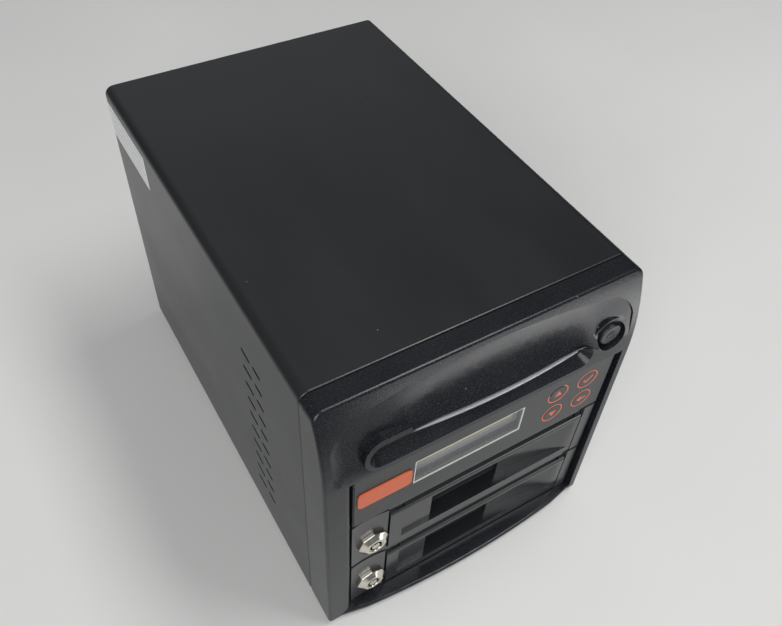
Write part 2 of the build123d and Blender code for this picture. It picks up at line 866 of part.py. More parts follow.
def control_panel():
    """Plastic front of the top bay with the window, key holes and screw bosses."""
    low = control_low_z + panel_low_gap
    high = low + panel_height
    y0 = panel_front_y
    y1 = y0 + panel_plate
    outline = Pos(panel_mid_x, (low + high) / 2) * RectangleRounded(panel_width, panel_height, 0.8)
    plate = front_prism(outline, y0, y1)
    seat_width = window_width + 2 * (window_lap + sheet_gap)
    seat_height = window_height + 2 * (window_lap + sheet_gap)
    plate -= block_at(window_x, window_z(), window_width, window_height, y0 - 1, y1 + 1)
    plate -= block_at(window_x, window_z(), seat_width, seat_height, y1 - window_thickness, y1 + 1)
    for x, z in key_places().values():
        plate -= rod_y(key_hole_radius(), x, y0 - 1, y1 + 1, z)
    left = rack_left + sheet + slide_gap
    right = rack_right - sheet - slide_gap
    for x0, x1 in ((left, left + panel_rim), (right - panel_rim, right)):
        plate += block(x0, x1, y1 - 0.5, y1 + panel_rim_depth, low + 3, high - 3)
    for x, z in display_screw_places():
        plate += rod_y(2.4, x, y1 - 0.5, display_board_y(), z)
        plate -= rod_y(1.2, x, y1 + 1, display_board_y() + 1, z)
    for x, z in key_board_screw_places():
        plate += rod_y(2.0, x, y1 - 0.5, key_board_y(), z)
        plate -= rod_y(1.2, x, y1 + 1, key_board_y() + 1, z)
    return plate


def panel_overlay():
    """Thin printed film on the panel's front, open at the window and the keys."""
    width = panel_width - 2 * overlay_inset
    height = panel_height - 2 * overlay_inset
    y1 = panel_front_y
    y0 = y1 - overlay_thickness
    outline = Pos(panel_mid_x, control_mid_z) * RectangleRounded(width, height, overlay_inset)
    film = front_prism(outline, y0, y1)
    film -= block_at(window_x, window_z(), window_width, window_height, y0 - 1, y1 + 1)
    for x, z in key_places().values():
        film -= rod_y(key_hole_radius(), x, y0 - 1, y1 + 1, z)
    return film


def display_window():
    """Clear window, flush with the film, with a flange that seats in the panel from behind."""
    y0 = panel_front_y - overlay_thickness
    y1 = panel_front_y + panel_plate
    width = window_width - 2 * window_gap
    height = window_height - 2 * window_gap
    lens = block_at(window_x, window_z(), width, height, y0, y1)
    lens = chamfer(lens.faces().sort_by(Axis.Y)[0].edges(), window_chamfer)
    width = window_width + 2 * window_lap
    height = window_height + 2 * window_lap
    return lens + block_at(window_x, window_z(), width, height, y1 - window_thickness, y1)


def display_frame_y():
    """Front face of the display's metal frame."""
    return panel_front_y + panel_plate + display_gap


def display_frame():
    """Pressed metal frame round the display glass."""
    y0 = display_frame_y()
    y1 = y0 + display_frame_depth
    inner_width = display_frame_width - 2 * sheet
    inner_height = display_frame_height - 2 * sheet
    frame = block_at(window_x, window_z(), display_frame_width, display_frame_height, y0, y1)
    frame -= block_at(window_x, window_z(), window_width + 2, window_height - 1, y0 - 1, y0 + sheet)
    return frame - block_at(window_x, window_z(), inner_width, inner_height, y0 + sheet, y1 + 1)


def display_glass():
    """The display's glass and backlight block inside the frame."""
    width = display_frame_width - 2 * (sheet + sheet_gap)
    height = display_frame_height - 2 * (sheet + sheet_gap)
    return block_at(window_x, window_z(), width, height, display_frame_y() + sheet, display_board_y())


def display_board_y():
    """Front face of the display's circuit board."""
    return display_frame_y() + display_frame_depth


def display_screw_places():
    """Centres of the display board's four screw holes."""
    reach_x = display_board_width / 2 - 2.5
    reach_z = min(display_board_height / 2 - 2.5, panel_height / 2 - 6)
    return [(window_x + a * reach_x, window_z() + b * reach_z) for a in (-1, 1) for b in (-1, 1)]


def display_board():
    """Circuit board behind the display, with its header."""
    y0 = display_board_y()
    z = control_mid_z
    board = block_at(window_x, z, display_board_width, display_board_height, y0, y0 + board_thickness)
    for x, hole_z in display_screw_places():
        board -= rod_y(1.25, x, y0 - 1, y0 + 3, hole_z)
    return board + block_at(window_x, z + 10, 22, 5, y0 + board_thickness, y0 + board_thickness + 5)


def key_board_y():
    """Front face of the key board."""
    return panel_front_y + panel_plate + key_board_gap


def key_board_screw_places():
    """Centres of the key board's two screws."""
    mid_x = sum(key_column_x) / 2
    mid_z = control_mid_z + sum(key_row_rise) / 2
    return [(mid_x, mid_z + reach) for reach in (-14.5, 14.5)]


def key_board():
    """Circuit board under the keys, with four switches."""
    y0 = key_board_y()
    mid_x = sum(key_column_x) / 2
    mid_z = control_mid_z + sum(key_row_rise) / 2
    board = block_at(mid_x, mid_z, key_board_width, key_board_height, y0, y0 + board_thickness)
    for x, z in key_board_screw_places():
        board -= rod_y(1.25, x, y0 - 1, y0 + 3, z)
    pieces = [board]
    for x, z in key_places().values():
        switch = block_at(x, z, 6, 6, y0 - 3.5, y0) + rod_y(1.7, x, y0 - 4.3, y0 - 3.4, z)
        pieces.append(switch)
    return solids_of(pieces)


def key_cap(x, z):
    """Round key with a retaining flange behind the panel and a stem to its switch."""
    front = panel_front_y - overlay_thickness - 0.2
    flange_front = panel_front_y + panel_plate + slide_gap
    cap = rod_y(key_diameter / 2, x, front, flange_front + key_flange, z)
    cap = fillet(cap.edges().group_by(Axis.Y)[0], 0.3)
    flange = rod_y(key_hole_radius() + 0.8, x, flange_front, flange_front + key_flange, z)
    stem_back = key_board_y() - 4.3 - key_travel - 0.05
    return cap + flange + rod_y(1.6, x, flange_front + key_flange, stem_back, z)


def panel_carrier():
    """Folded steel tray in the top bay: it carries the controller board."""
    low = control_low_z + carrier_floor_w
    y0 = panel_front_y + panel_plate + panel_rim_depth + 1
    y1 = seam_y + rack_body_depth - cage_rear_inset - 2
    carrier = block(rack_left, rack_right, y0, y1, low, low + sheet)
    for x0, x1 in ((rack_left, rack_left + sheet), (rack_right - sheet, rack_right)):
        carrier += block(x0, x1, y0, y1, low, low + carrier_wall)
        carrier += block(x0, x1, panel_front_y + panel_plate, y0 + 1, low + 4, low + carrier_wall)
    for x, y in standoff_places():
        carrier -= rod_z(1.5, x, y, low - 1, low + 3)
    for y, z in rack_screw_places():
        if z > low:
            carrier -= rod_x(screw_radius, rack_left - 1, rack_left + 2 * sheet, y, z)
            carrier -= rod_x(screw_radius, rack_right - 2 * sheet, rack_right + 1, y, z)
    return carrier


def standoff_places():
    """Centres of the four controller board standoffs."""
    ys = (seam_y + 30, seam_y + 120)
    return [(panel_mid_x + side * 52, y) for side in (-1, 1) for y in ys]


def board_standoffs():
    """Hexagonal standoffs between the carrier and the controller board."""
    low = control_low_z + carrier_floor_w + sheet
    posts = []
    for x, y in standoff_places():
        hexagon = Pos(x, y) * RegularPolygon(2.8, 6)
        post = plan_prism(hexagon, low, low + 6) + rod_z(1.45, x, y, low - sheet, low + 6 + board_thickness)
        posts.append(post + rod_z(2.6, x, y, low + 6 + board_thickness, low + 9))
    return solids_of(posts)


def controller_board_z():
    """Underside of the controller board."""
    return control_low_z + carrier_floor_w + sheet + 6


def controller_board():
    """Main circuit board with its processor, memory, heat sink, sockets and headers."""
    z0 = controller_board_z()
    z1 = z0 + board_thickness
    y0 = seam_y + 22
    y1 = seam_y + 128
    x0 = panel_mid_x - 58
    x1 = panel_mid_x + 58
    board = block(x0, x1, y0, y1, z0, z1)
    for x, y in standoff_places():
        board -= rod_z(1.5, x, y, z0 - 1, z1 + 1)
    pieces = [board]
    pieces.append(block(-14, 14, seam_y + 60, seam_y + 88, z1, z1 + 3))
    pieces.append(heat_sink(0, seam_y + 74, z1 + 3))
    for x in (-38, 32):
        pieces.append(block(x - 5, x + 5, seam_y + 70, seam_y + 90, z1, z1 + 1.2))
    for x in data_socket_x():
        pieces.append(block(x - 8, x + 8, y1 - 10, y1 + 1, z1, z1 + 9))
    pieces.append(block(window_x - 11, window_x + 11, y0 + 2, y0 + 8, z1, z1 + 7))
    pieces.append(block(power_socket_x() - 9, power_socket_x() + 9, seam_y + 40, seam_y + 50, z1, z1 + 9))
    for x, y in ((-34, 38), (-34, 50), (20, 34)):
        pieces.append(rod_z(4, x, seam_y + y, z1, z1 + 10))
    return solids_of(pieces)


def data_socket_x():
    """X of the two drive sockets at the controller board's rear."""
    return (panel_mid_x - 30, panel_mid_x + 30)


def power_socket_x():
    """X of the controller board's power socket."""
    return 45.0


def heat_sink(x, y, z):
    """Small finned heat sink."""
    sink = block(x - 13, x + 13, y - 13, y + 13, z, z + 2)
    for i in range(7):
        fin = x - 12.4 + i * 4.0
        sink += block(fin, fin + 0.9, y - 13, y + 13, z + 2, z + 10)
    return sink


def badge_plate():
    """Blank oblong plate on the panel's left."""
    y1 = panel_front_y - overlay_thickness
    z = control_mid_z + badge_rise
    outline = Pos(badge_x, z) * RectangleRounded(badge_width, badge_height, 2.5)
    plate = front_prism(outline, y1 - badge_thickness, y1)
    return chamfer(plate.faces().sort_by(Axis.Y)[0].edges(), 0.25)


# Drive racks


def rack_floor_z(level):
    """Height of a rack's bay floor: 0 is the lower rack, 1 the upper."""
    return bay_floor_z + level * bay_pitch


def rack_frame(level):
    """Fixed frame of a rack: fascia with the lock block, and guides for the tray."""
    z = rack_floor_z(level)
    y = panel_front_y
    fascia_low = z + panel_low_gap
    fascia_high = fascia_low + panel_height
    mid = (fascia_low + fascia_high) / 2
    outline = Pos(panel_mid_x, mid) * RectangleRounded(panel_width, panel_height, 0.8)
    frame = front_prism(outline, y, y + fascia_depth)
    hole = (tray_hole_left, tray_hole_right)
    back = y + fascia_depth + 1
    frame -= block(*hole, y - 1, back, fascia_low - 1, z + top_strip_low_w)
    frame -= block(*hole, y - 1, y + top_strip_front, fascia_low - 1, fascia_high + 1)
    frame -= block(*hole, y + top_strip_back, back, fascia_low - 1, fascia_high + 1)
    frame -= lock_block_hollow(z)
    frame += rack_body(z)
    frame -= front_prism(Pos(lock_x, z + lock_w) * octagon(lock_head_flat), y - 2, y + lock_seat_depth)
    frame -= rod_y(lock_barrel_radius + 0.1, lock_x, y - 1, y + 30, z + lock_w)
    for screw_y, screw_z in rack_screw_places():
        if z < screw_z < z + bay_pitch:
            frame -= rod_x(screw_radius, rack_left - 1, rack_left + rack_wall + 1, screw_y, screw_z)
            frame -= rod_x(screw_radius, rack_right - rack_wall - 1, rack_right + 1, screw_y, screw_z)
    return frame


def lock_block_hollow(z):
    """Shallow dish in the lock block's face and the space behind it."""
    y = panel_front_y
    middle = panel_left + lock_block_width / 2
    reach = 60.0
    dish = rod_z(reach, middle, y - reach + lock_seat_depth, z, z + bay_pitch)
    inside = (rack_left + rack_wall, tray_hole_left - rack_wall)
    low = z + rack_floor_w + rack_floor + slide_gap
    behind = block(*inside, y + 4, y + fascia_depth + 1, low, z + rack_top_w - rack_wall)
    return dish + behind


def rack_body(z):
    """Floor, walls, guides and runners behind the fascia."""
    y0 = panel_front_y + fascia_depth - 0.5
    guide_y = panel_front_y + fascia_depth + guide_setback
    y1 = panel_front_y + rack_body_depth
    low = z + rack_floor_w
    high = z + rack_top_w
    body = block(rack_left, rack_right, guide_y, y1, low, low + rack_floor)
    walls = (
        (rack_left, rack_left + rack_wall),
        (guide_left - rack_wall, guide_left),
        (guide_right, guide_right + rack_wall),
        (rack_right - rack_wall, rack_right),
    )
    for x0, x1 in walls:
        start = y0 if x0 == rack_left or x1 == rack_right else guide_y
        body += block(x0, x1, start, y1, low, high)
    body += block(rack_left, guide_left + 5, guide_y, y1, high - rack_floor, high)
    body += block(guide_right - 5, rack_right, guide_y, y1, high - rack_floor, high)
    for x in (tray_left + 12, tray_right - 15):
        body += block(x, x + 3, guide_y + 2.5, y1, low + rack_floor - 0.2, z + tray_floor_w - slide_gap)
    return body


def tray(level):
    """Drive carrier: open-topped channel that slides in the rack frame."""
    z = rack_floor_z(level)
    y0 = panel_front_y + tray_front_v + tray_front_depth
    y1 = panel_front_y + tray_rear_v
    low = z + tray_floor_w
    body = block(tray_left, tray_right, y0, y1, low, low + tray_wall)
    for x0, x1 in ((tray_left, tray_left + tray_wall), (tray_right - tray_wall, tray_right)):
        body += block(x0, x1, y0, y1, low, z + tray_wall_high_w)
    body += block(tray_left, tray_right, y0, y0 + tray_wall, low, z + tray_wall_high_w)
    body += block(tray_left, tray_right, y1 - tray_wall, y1, low, z + tray_wall_high_w)
    mid_x = connector_x()
    body -= block_at(mid_x, z + plug_low_w + plug_height / 2, plug_width, plug_height, y1 - 3, y1 + 1)
    for side in (-1, 1):
        for run in drive_screw_run:
            body -= rod_z(drive_screw_hole / 2, mid_x + side * drive_screw_x, y0 + run, low - 1, low + 3)
        for run in tray_vent_run:
            slot = Pos(mid_x + side * 18, y0 + run) * SlotOverall(24, 8)
            body -= plan_prism(slot, low - 1, low + 3)
    return body


def tray_front(level):
    """Moulded front of a tray, behind the handle, with the finger pocket and the hinge ears."""
    z = rack_floor_z(level)
    y0 = panel_front_y + tray_front_v
    y1 = y0 + tray_front_depth
    front = block(handle_left, handle_right, y0, y1, z + handle_low_w, z + handle_high_w)
    middle_x = handle_left + pocket_left_inset + pocket_width / 2
    middle_z = z + (dent_low_w + dent_high_w) / 2
    height = dent_high_w - dent_low_w
    pocket = block_at(middle_x, middle_z, pocket_width + 4, height, y0 - 1, y0 + pocket_depth)
    pocket = fillet(pocket.edges().group_by(Axis.Y)[-1], 3.0)
    front -= pocket
    pivot_y = panel_front_y + handle_pivot_v
    pivot_z = z + handle_pivot_w
    for x in ear_places():
        ear = rod_x(ear_radius, x - ear_width / 2, x + ear_width / 2, pivot_y, pivot_z)
        ear += block(x - ear_width / 2, x + ear_width / 2, pivot_y, y0 + 1, pivot_z - 2.0, pivot_z + 2.0)
        front += ear
    front -= rod_x(handle_pin_radius, handle_left, handle_right, pivot_y, pivot_z)
    return front


def ear_places():
    """X centres of the two hinge ears."""
    return (handle_left + ear_inset, handle_right - ear_inset)


def handle(level):
    """Swinging handle: a window for a label, a finger hole and a dish, with a grip bar below them."""
    z = rack_floor_z(level)
    y0 = panel_front_y
    y1 = y0 + handle_thickness
    low = z + handle_low_w
    high = z + handle_high_w
    plate = block(handle_left, handle_right, y0, y1, low, high)
    top_edges = plate.edges().filter_by(Axis.X).group_by(Axis.Z)[-1]
    plate = fillet(top_edges, handle_thickness / 2 - 0.01)
    plate = fillet(plate.edges().filter_by(Axis.X).group_by(Axis.Z)[0], 0.8)
    dent_left = handle_left + dent_left_inset
    dent_right = handle_right - dent_right_inset
    chord = dent_right - dent_left
    reach = (chord * chord / 4 + dent_depth * dent_depth) / (2 * dent_depth)
    middle = (dent_left + dent_right) / 2
    dent = rod_z(reach, middle, y0 + dent_depth - reach, z + dent_low_w, z + dent_high_w)
    pocket_left = handle_left + pocket_left_inset
    window_back = y0 + label_window_depth
    plate -= dent & block(pocket_left, dent_right, y0 - 1, y1, z + dent_low_w, z + dent_high_w)
    plate -= block(dent_left, pocket_left, y0 - 1, window_back, z + dent_low_w, z + dent_high_w)
    plate -= block(pocket_left, pocket_left + pocket_width, y0 - 1, y1 + 1, z + dent_low_w, z + dent_high_w)
    pivot_y = y0 + handle_pivot_v
    pivot_z = z + handle_pivot_w
    for x in ear_places():
        half = ear_width / 2 + slide_gap
        notch = rod_x(ear_radius + moving_gap, x - half, x + half, pivot_y, pivot_z)
        reach_back = ear_radius + moving_gap
        notch += block(x - half, x + half, pivot_y, y1 + 1, pivot_z - reach_back, high + 1)
        notch += block(x - half, x + half, pivot_y - reach_back, y1 + 1, pivot_z, high + 1)
        plate -= notch
    plate -= rod_x(handle_pin_radius + pin_gap, handle_left + 1, handle_right - 1, pivot_y, pivot_z)
    return plate


def handle_pin(level):
    """Steel pin that the handle turns on, held in the tray front's ears."""
    z = rack_floor_z(level) + handle_pivot_w
    y = panel_front_y + handle_pivot_v
    return rod_x(handle_pin_radius, handle_left + 1.5, handle_right - 1.5, y, z)


def octagon(flat):
    """Eight-sided outline with a corner at the top, given by its size over the flats."""
    return RegularPolygon(flat / 2, 8, major_radius=False)


def lock_head_y():
    """Front face of a lock's head."""
    return panel_front_y - lock_head_height


def lock_housing(level):
    """Bevelled eight-sided head with its barrel through the lock block."""
    z = rack_floor_z(level) + lock_w
    seat = panel_front_y + lock_seat_depth
    front = lock_head_y()
    rim = Pos(lock_x, z) * octagon(lock_head_flat)
    nose = Pos(lock_x, z) * octagon(lock_head_front)
    rim_y = panel_front_y - lock_head_rim
    head = front_prism(rim, rim_y, seat)
    back_plane = Plane((0, rim_y, 0), x_dir=(1, 0, 0), z_dir=(0, -1, 0))
    nose_plane = Plane((0, front, 0), x_dir=(1, 0, 0), z_dir=(0, -1, 0))
    head += loft([back_plane * rim, nose_plane * nose])
    head += rod_y(lock_barrel_radius, lock_x, seat - 0.5, lock_back_y(), z)
    return head - rod_y(lock_core_radius + pin_gap, lock_x, front - 1, lock_back_y() + 1, z)


def lock_back_y():
    """Rear end of a lock's barrel."""
    return panel_front_y + 22.0


def lock_plug(level):
    """Turning core with the ring groove for a tubular key and its drive tail."""
    z = rack_floor_z(level) + lock_w
    front = lock_head_y() + 0.3
    core = rod_y(lock_core_radius, lock_x, front, lock_back_y() + slide_gap, z)
    ring = rod_y(lock_core_radius - 0.6, lock_x, front - 1, front + 5, z)
    ring -= rod_y(lock_core_radius - 1.7, lock_x, front - 2, front + 6, z)
    core -= ring
    core -= block_at(lock_x, z + lock_core_radius - 0.7, 1.2, 3.4, front - 1, front + 3)
    tail_back = lock_back_y() + slide_gap + cam_thickness + 1
    return core + block_at(lock_x, z, lock_tail, lock_tail, lock_back_y(), tail_back)


def lock_cam(level):
    """Flat cam on the core's tail: it points down when locked and turns outward."""
    z = rack_floor_z(level) + lock_w
    y0 = lock_back_y() + slide_gap
    outline = Pos(lock_x, z) * Circle(cam_width / 2 + 0.6)
    arm = Pos(lock_x, z - cam_length / 2) * Rectangle(cam_width, cam_length)
    cam = front_prism(outline + arm, y0, y0 + cam_thickness)
    return cam - block_at(lock_x, z, lock_tail, lock_tail, y0 - 1, y0 + cam_thickness + 1)


def key_switches():
    """Microswitches beside the two cams, one in each rack's lock space."""
    pieces = []
    for level in range(2):
        low = rack_floor_z(level) + rack_floor_w + rack_floor
        high = rack_floor_z(level) + lock_w - cam_length - switch_cam_gap
        y = lock_back_y() - 4
        pieces.append(block(lock_x - 5, lock_x + 5, y, y + 14, low, high))
    return solids_of(pieces)


def connector_x():
    """Middle of the drive connectors."""
    return (tray_left + tray_right) / 2


def rack_board(level):
    """Circuit board that closes the rack frame's rear."""
    z = rack_floor_z(level)
    y = panel_front_y + rack_body_depth
    board = block(rack_left, rack_right, y, y + board_thickness, z + 1.2, z + rack_top_w)
    for x in (data_socket_x()[level], rack_power_x):
        board += block(x - 8, x + 8, y + board_thickness, y + board_thickness + 5, z + 20, z + 28)
    return board


def rack_sockets():
    """Drive sockets on the two rack boards."""
    pieces = []
    for level in range(2):
        z0 = rack_floor_z(level) + plug_low_w - 2
        y1 = panel_front_y + rack_body_depth
        x = connector_x()
        half = plug_width / 2 + 3
        socket = block(x - half, x + half, y1 - socket_depth, y1, z0, z0 + plug_height + 4)
        gap = moving_gap
        mouth = block(
            x - plug_width / 2 + 2 - gap, x + plug_width / 2 - 2 + gap, y1 - socket_depth - 1,
            y1 - socket_depth + plug_engage + gap, z0 + 3 - gap, z0 + plug_height + 1 + gap,
        )
        pieces.append(socket - mouth)
    return solids_of(pieces)


def tray_plug(level):
    """Connector on the tray's rear wall that enters the rack's socket."""
    z0 = rack_floor_z(level) + plug_low_w
    y0 = panel_front_y + tray_rear_v - tray_wall
    y1 = panel_front_y + rack_body_depth - socket_depth - slide_gap
    x = connector_x()
    half = plug_width / 2
    plug = block(x - half, x + half, y0 - 5, y1, z0, z0 + plug_height)
    nose = block(x - half + 2, x + half - 2, y1 - 1, y1 + plug_engage, z0 + 1, z0 + plug_height - 1)
    return plug + nose


# Power supply, fans and rear fittings


def power_supply():
    """Steel case of the power supply with fan, inlet and vent openings."""
    z0 = psu_low_z
    z1 = z0 + psu_height
    y0 = psu_front_y
    y1 = rear_panel_y
    case = block(psu_left, psu_right, y0, y1, z0, z1)
    case -= block(psu_left + sheet, psu_right - sheet, y0 + sheet, y1 - sheet, z0 + sheet, z1 - sheet)
    case -= rod_y(psu_fan_size / 2, psu_left + psu_fan_inset, y1 - 2, y1 + 1, (z0 + z1) / 2)
    case -= block_at(inlet_x(), inlet_z(), inlet_width, inlet_height, y1 - 2, y1 + 1)
    for x, z in psu_screw_places():
        case -= rod_y(screw_radius, x, y1 - 2, y1 + 1, z)
    for x in vent_row(psu_x, 9):
        case -= front_prism(Pos(x, (z0 + z1) / 2) * upright_vent(24), y0 - 1, y0 + 2 * sheet)
    fan_x = psu_left + psu_fan_inset
    hub = rod_y(psu_fan_hub / 2, fan_x, y1 - psu_hub_depth, y1, (z0 + z1) / 2)
    for angle in (45, 135):
        bar = Rot(0, 0, angle) * Rectangle(psu_fan_size + 2, 1.6)
        hub += front_prism(Pos(fan_x, (z0 + z1) / 2) * bar, y1 - sheet, y1)
    return case + hub


def inlet_x():
    """Middle of the inlet unit."""
    return psu_right - inlet_inset


def inlet_z():
    """Middle height of the inlet unit."""
    return psu_low_z + psu_height / 2


def power_inlet():
    """Mains inlet with a rocker well beside it, in one moulding."""
    y1 = rear_panel_y + inlet_proud
    y0 = rear_panel_y - 16
    unit = block_at(inlet_x(), inlet_z(), inlet_width - sheet_gap, inlet_height - sheet_gap, y0, y1 - 1)
    rim = 2 * inlet_rim
    unit += block_at(inlet_x(), inlet_z(), inlet_width + rim, inlet_height + rim, rear_panel_y, y1)
    socket_x = inlet_x() - socket_shift
    socket = Pos(socket_x, inlet_z()) * Rectangle(22, 17)
    socket = chamfer(socket.vertices().group_by(Axis.Y)[-1], 4)
    unit -= front_prism(socket, y1 - 15, y1 + 1)
    for dx, dz in ((0, 3.5), (-6, -2.5), (6, -2.5)):
        unit += block_at(socket_x + dx, inlet_z() + dz, 2, 4, y1 - 16, y1 - 3)
    gap = moving_gap
    well_height = rocker_height + 2 * gap + 1
    unit -= block_at(rocker_x(), inlet_z(), rocker_width + 2 * gap, well_height, y1 - 11, y1 + 1)
    for side in (-1, 1):
        x = rocker_x() + side * (rocker_width / 2 + gap)
        x0, x1 = sorted((x + side * 0.5, x - side * (gap + 1.0)))
        unit += rod_x(1.0, x0, x1, rocker_pivot_y(), inlet_z())
    return unit


def rocker_x():
    """Middle of the rocker."""
    return inlet_x() + rocker_shift


def rocker_pivot_y():
    """Axis of the rocker."""
    return rear_panel_y + inlet_proud - 4.0


def power_rocker():
    """Rocker on two short pins, drawn in its off position."""
    y = rocker_pivot_y()
    z = inlet_z()
    x = rocker_x()
    half = rocker_width / 2
    tall = rocker_height / 2
    rise = tall * math.tan(math.radians(rocker_swing / 2))
    points = [(-3.0, -tall + 1), (4.4 + rise, -tall), (4.4 - 0.4, 0), (4.4 + rise, tall), (-3.0, tall - 1)]
    face = make_face(Polyline(*points, close=True))
    rocker = side_prism(face, -half, half)
    for side in (-1, 1):
        x0, x1 = sorted((side * (half - 1.3), side * (half + 1)))
        rocker -= rod_x(1.0 + pin_gap, x0, x1, 0, 0)
    return Pos(x, y, z) * Rot(-rocker_swing / 2, 0, 0) * rocker


def fan_rotor(outer_radius, hub_radius, depth, blades):
    """Fan hub and blades, centred on the origin, turning about Y."""
    rotor = rod_y(hub_radius, 0, 0, depth, 0)
    span = outer_radius - hub_radius + 1.5
    ring = rod_y(outer_radius, 0, 0, depth, 0)
    for i in range(blades):
        blade = Rot(0, 0, fan_blade_pitch) * Box(1.6, depth * 1.02, span + 3)
        blade = Pos(0, depth / 2, hub_radius - 1.5 + span / 2) * blade & ring
        rotor += Rot(0, i * 360 / blades, 0) * blade
    return rotor


def exhaust_fan_frame():
    """Square fan frame with its motor cup on four arms."""
    y0 = fan_front_y
    y1 = rear_panel_y
    outline = Pos(fan_centre_x, fan_centre_z) * RectangleRounded(fan_size, fan_size, 4)
    frame = front_prism(outline, y0, y1)
    frame -= rod_y(fan_bore / 2, fan_centre_x, y0 - 1, y1 + 1, fan_centre_z)
    spider = rod_y(fan_hub_diameter / 2, fan_centre_x, y0, y0 + fan_spider, fan_centre_z)
    for angle in (20, 110, 200, 290):
        length = fan_bore / 2 + 1
        arm = Rot(0, 0, angle) * Pos(length / 2, 0) * Rectangle(length, 3.2)
        spider += front_prism(Pos(fan_centre_x, fan_centre_z) * arm, y0, y0 + fan_spider)
    spider += rod_y(fan_shaft_radius, fan_centre_x, y0, y0 + 12, fan_centre_z)
    frame += spider
    for x, z in fan_screw_places():
        frame -= rod_y(screw_radius, x, y0 - 1, y1 + 1, z)
    return frame


def exhaust_fan_rotor():
    """Exhaust fan's rotor on the frame's shaft."""
    depth = fan_depth - 2 * fan_spider
    rotor = fan_rotor(fan_bore / 2 - 1.2, fan_hub_diameter / 2, depth, fan_blades)
    rotor -= rod_y(fan_shaft_radius + pin_gap, 0, -1, 12, 0)
    return Pos(fan_centre_x, fan_front_y + fan_spider + 0.5, fan_centre_z) * rotor


def psu_fan_rotor():
    """Power supply's small rotor behind its grille, on the hub's shaft."""
    rotor = fan_rotor(psu_fan_size / 2 - 0.8, psu_fan_hub / 2, psu_rotor_depth, fan_blades)
    y = rear_panel_y - psu_hub_depth - moving_gap - psu_rotor_depth
    return Pos(psu_left + psu_fan_inset, y, psu_low_z + psu_height / 2) * rotor


def fan_guard():
    """Wire guard over the exhaust fan, outside the rear panel."""
    y0 = rear_panel_y + sheet
    y1 = y0 + guard_thickness
    wires = None
    for radius in (8, 14, 20, 26, 32, 38):
        ring = Circle(radius + guard_wire / 2) - Circle(radius - guard_wire / 2)
        wires = ring if wires is None else wires + ring
    reach = fan_hole_spacing / 2 * math.sqrt(2)
    for angle in (45, 135):
        wires += Rot(0, 0, angle) * Rectangle(2 * reach, guard_wire * 1.4)
    for angle in (45, 135, 225, 315):
        wires += Rot(0, 0, angle) * Pos(reach, 0) * Circle(3.6)
    for angle in (45, 135, 225, 315):
        wires -= Rot(0, 0, angle) * Pos(reach, 0) * Circle(screw_radius)
    return front_prism(Pos(fan_centre_x, fan_centre_z) * wires, y0, y1)


# Feet, label, screws and cables


def feet():
    """Four rubber feet with a recess for the screw head."""
    pieces = []
    for x, y in foot_places():
        foot = plan_prism(Pos(x, y) * Circle(foot_radius), 0, foot_height)
        foot = fillet(foot.edges().group_by(Axis.Z)[0], 1.0)
        foot -= rod_z(3.6, x, y, -1, 2)
        pieces.append(foot - rod_z(foot_screw_radius, x, y, -1, foot_height + 1))
    return solids_of(pieces)


def foot_screws():
    """Screws up through the feet into the base."""
    pieces = []
    for x, y in foot_places():
        head = rod_z(3.4, x, y, 0.6, 2)
        pieces.append(head + rod_z(foot_screw_radius, x, y, 2, foot_height + foot_screw_reach))
    return solids_of(pieces)


def side_label():
    """Blank paper label on the cover's left side, near the rear."""
    face = Pos(seam_y + 204, base_z + 158) * RectangleRounded(56, 21, 0.8)
    return side_prism(face, -half_width - 0.15, -half_width)


def pan_screw(x, y, z, turn):
    """Pan head screw along Y, its head's underside at y, its cross turned by turn."""
    head = rod_y(screw_head_radius, 0, 0, screw_head_height, 0)
    head = fillet(head.edges().group_by(Axis.Y)[-1], 0.7)
    for angle in (0, 90):
        cross = Rot(0, 0, angle) * Rectangle(3.0, 0.7)
        head -= front_prism(cross, screw_head_height - 0.9, screw_head_height + 1)
    shank = rod_y(screw_radius, 0, -screw_length, 0, 0)
    return Pos(x, y, z) * Rot(0, turn, 0) * (head + shank)


def rear_screws():
    """Screws of the cover's lip, the power supply and the exhaust fan, on the rear."""
    pieces = [pan_screw(x, rear_y, z, 0) for x, z in rear_screw_places()]
    pieces += [pan_screw(x, rear_panel_y + sheet, z, 0) for x, z in psu_screw_places()]
    y = rear_panel_y + sheet + guard_thickness
    pieces += [pan_screw(x, y, z, 45) for x, z in fan_screw_places()]
    return solids_of(pieces)


def rack_screws():
    """Screws through the cage's sides into the racks and the panel carrier."""
    pieces = []
    for y, z in rack_screw_places():
        pieces.append(short_side_screw(cage_left, y, z, -1))
        pieces.append(short_side_screw(cage_right, y, z, 1))
    return solids_of(pieces)


def short_side_screw(x, y, z, side):
    """Pan head screw along X, its head outside the cage wall at x."""
    x0, x1 = sorted((x, x + side * screw_head_height))
    head = rod_x(screw_head_radius, x0, x1, y, z)
    x0, x1 = sorted((x, x - side * (sheet + slide_gap + rack_wall)))
    return head + rod_x(screw_radius, x0, x1, y, z)


def corner_radii(points):
    """Radius of each corner: as large as the runs beside it allow."""
    radii = []
    last = len(points) - 2
    for i in range(1, last + 1):
        run_in = Vector(*points[i]) - Vector(*points[i - 1])
        run_out = Vector(*points[i + 1]) - Vector(*points[i])
        turn = math.radians(run_in.get_angle(run_out))
        room_in = run_in.length * (0.9 if i == 1 else 0.48)
        room_out = run_out.length * (0.9 if i == last else 0.48)
        radii.append(min(room_in, room_out) / math.tan(turn / 2))
    return radii


def tube(name, points, radius):
    """Round cable along straight runs joined by arcs."""
    radii = corner_radii(points)
    path = FilletPolyline(*points, radius=radii)
    section = Plane(path @ 0, z_dir=path % 0) * Circle(radius)
    cable = sweep(section, path=path)
    print(name, "radii", [round(r, 1) for r in radii], "volume", round(cable.volume))
    print(name, "length times section", round(path.length * math.pi * radius * radius))
    return cable


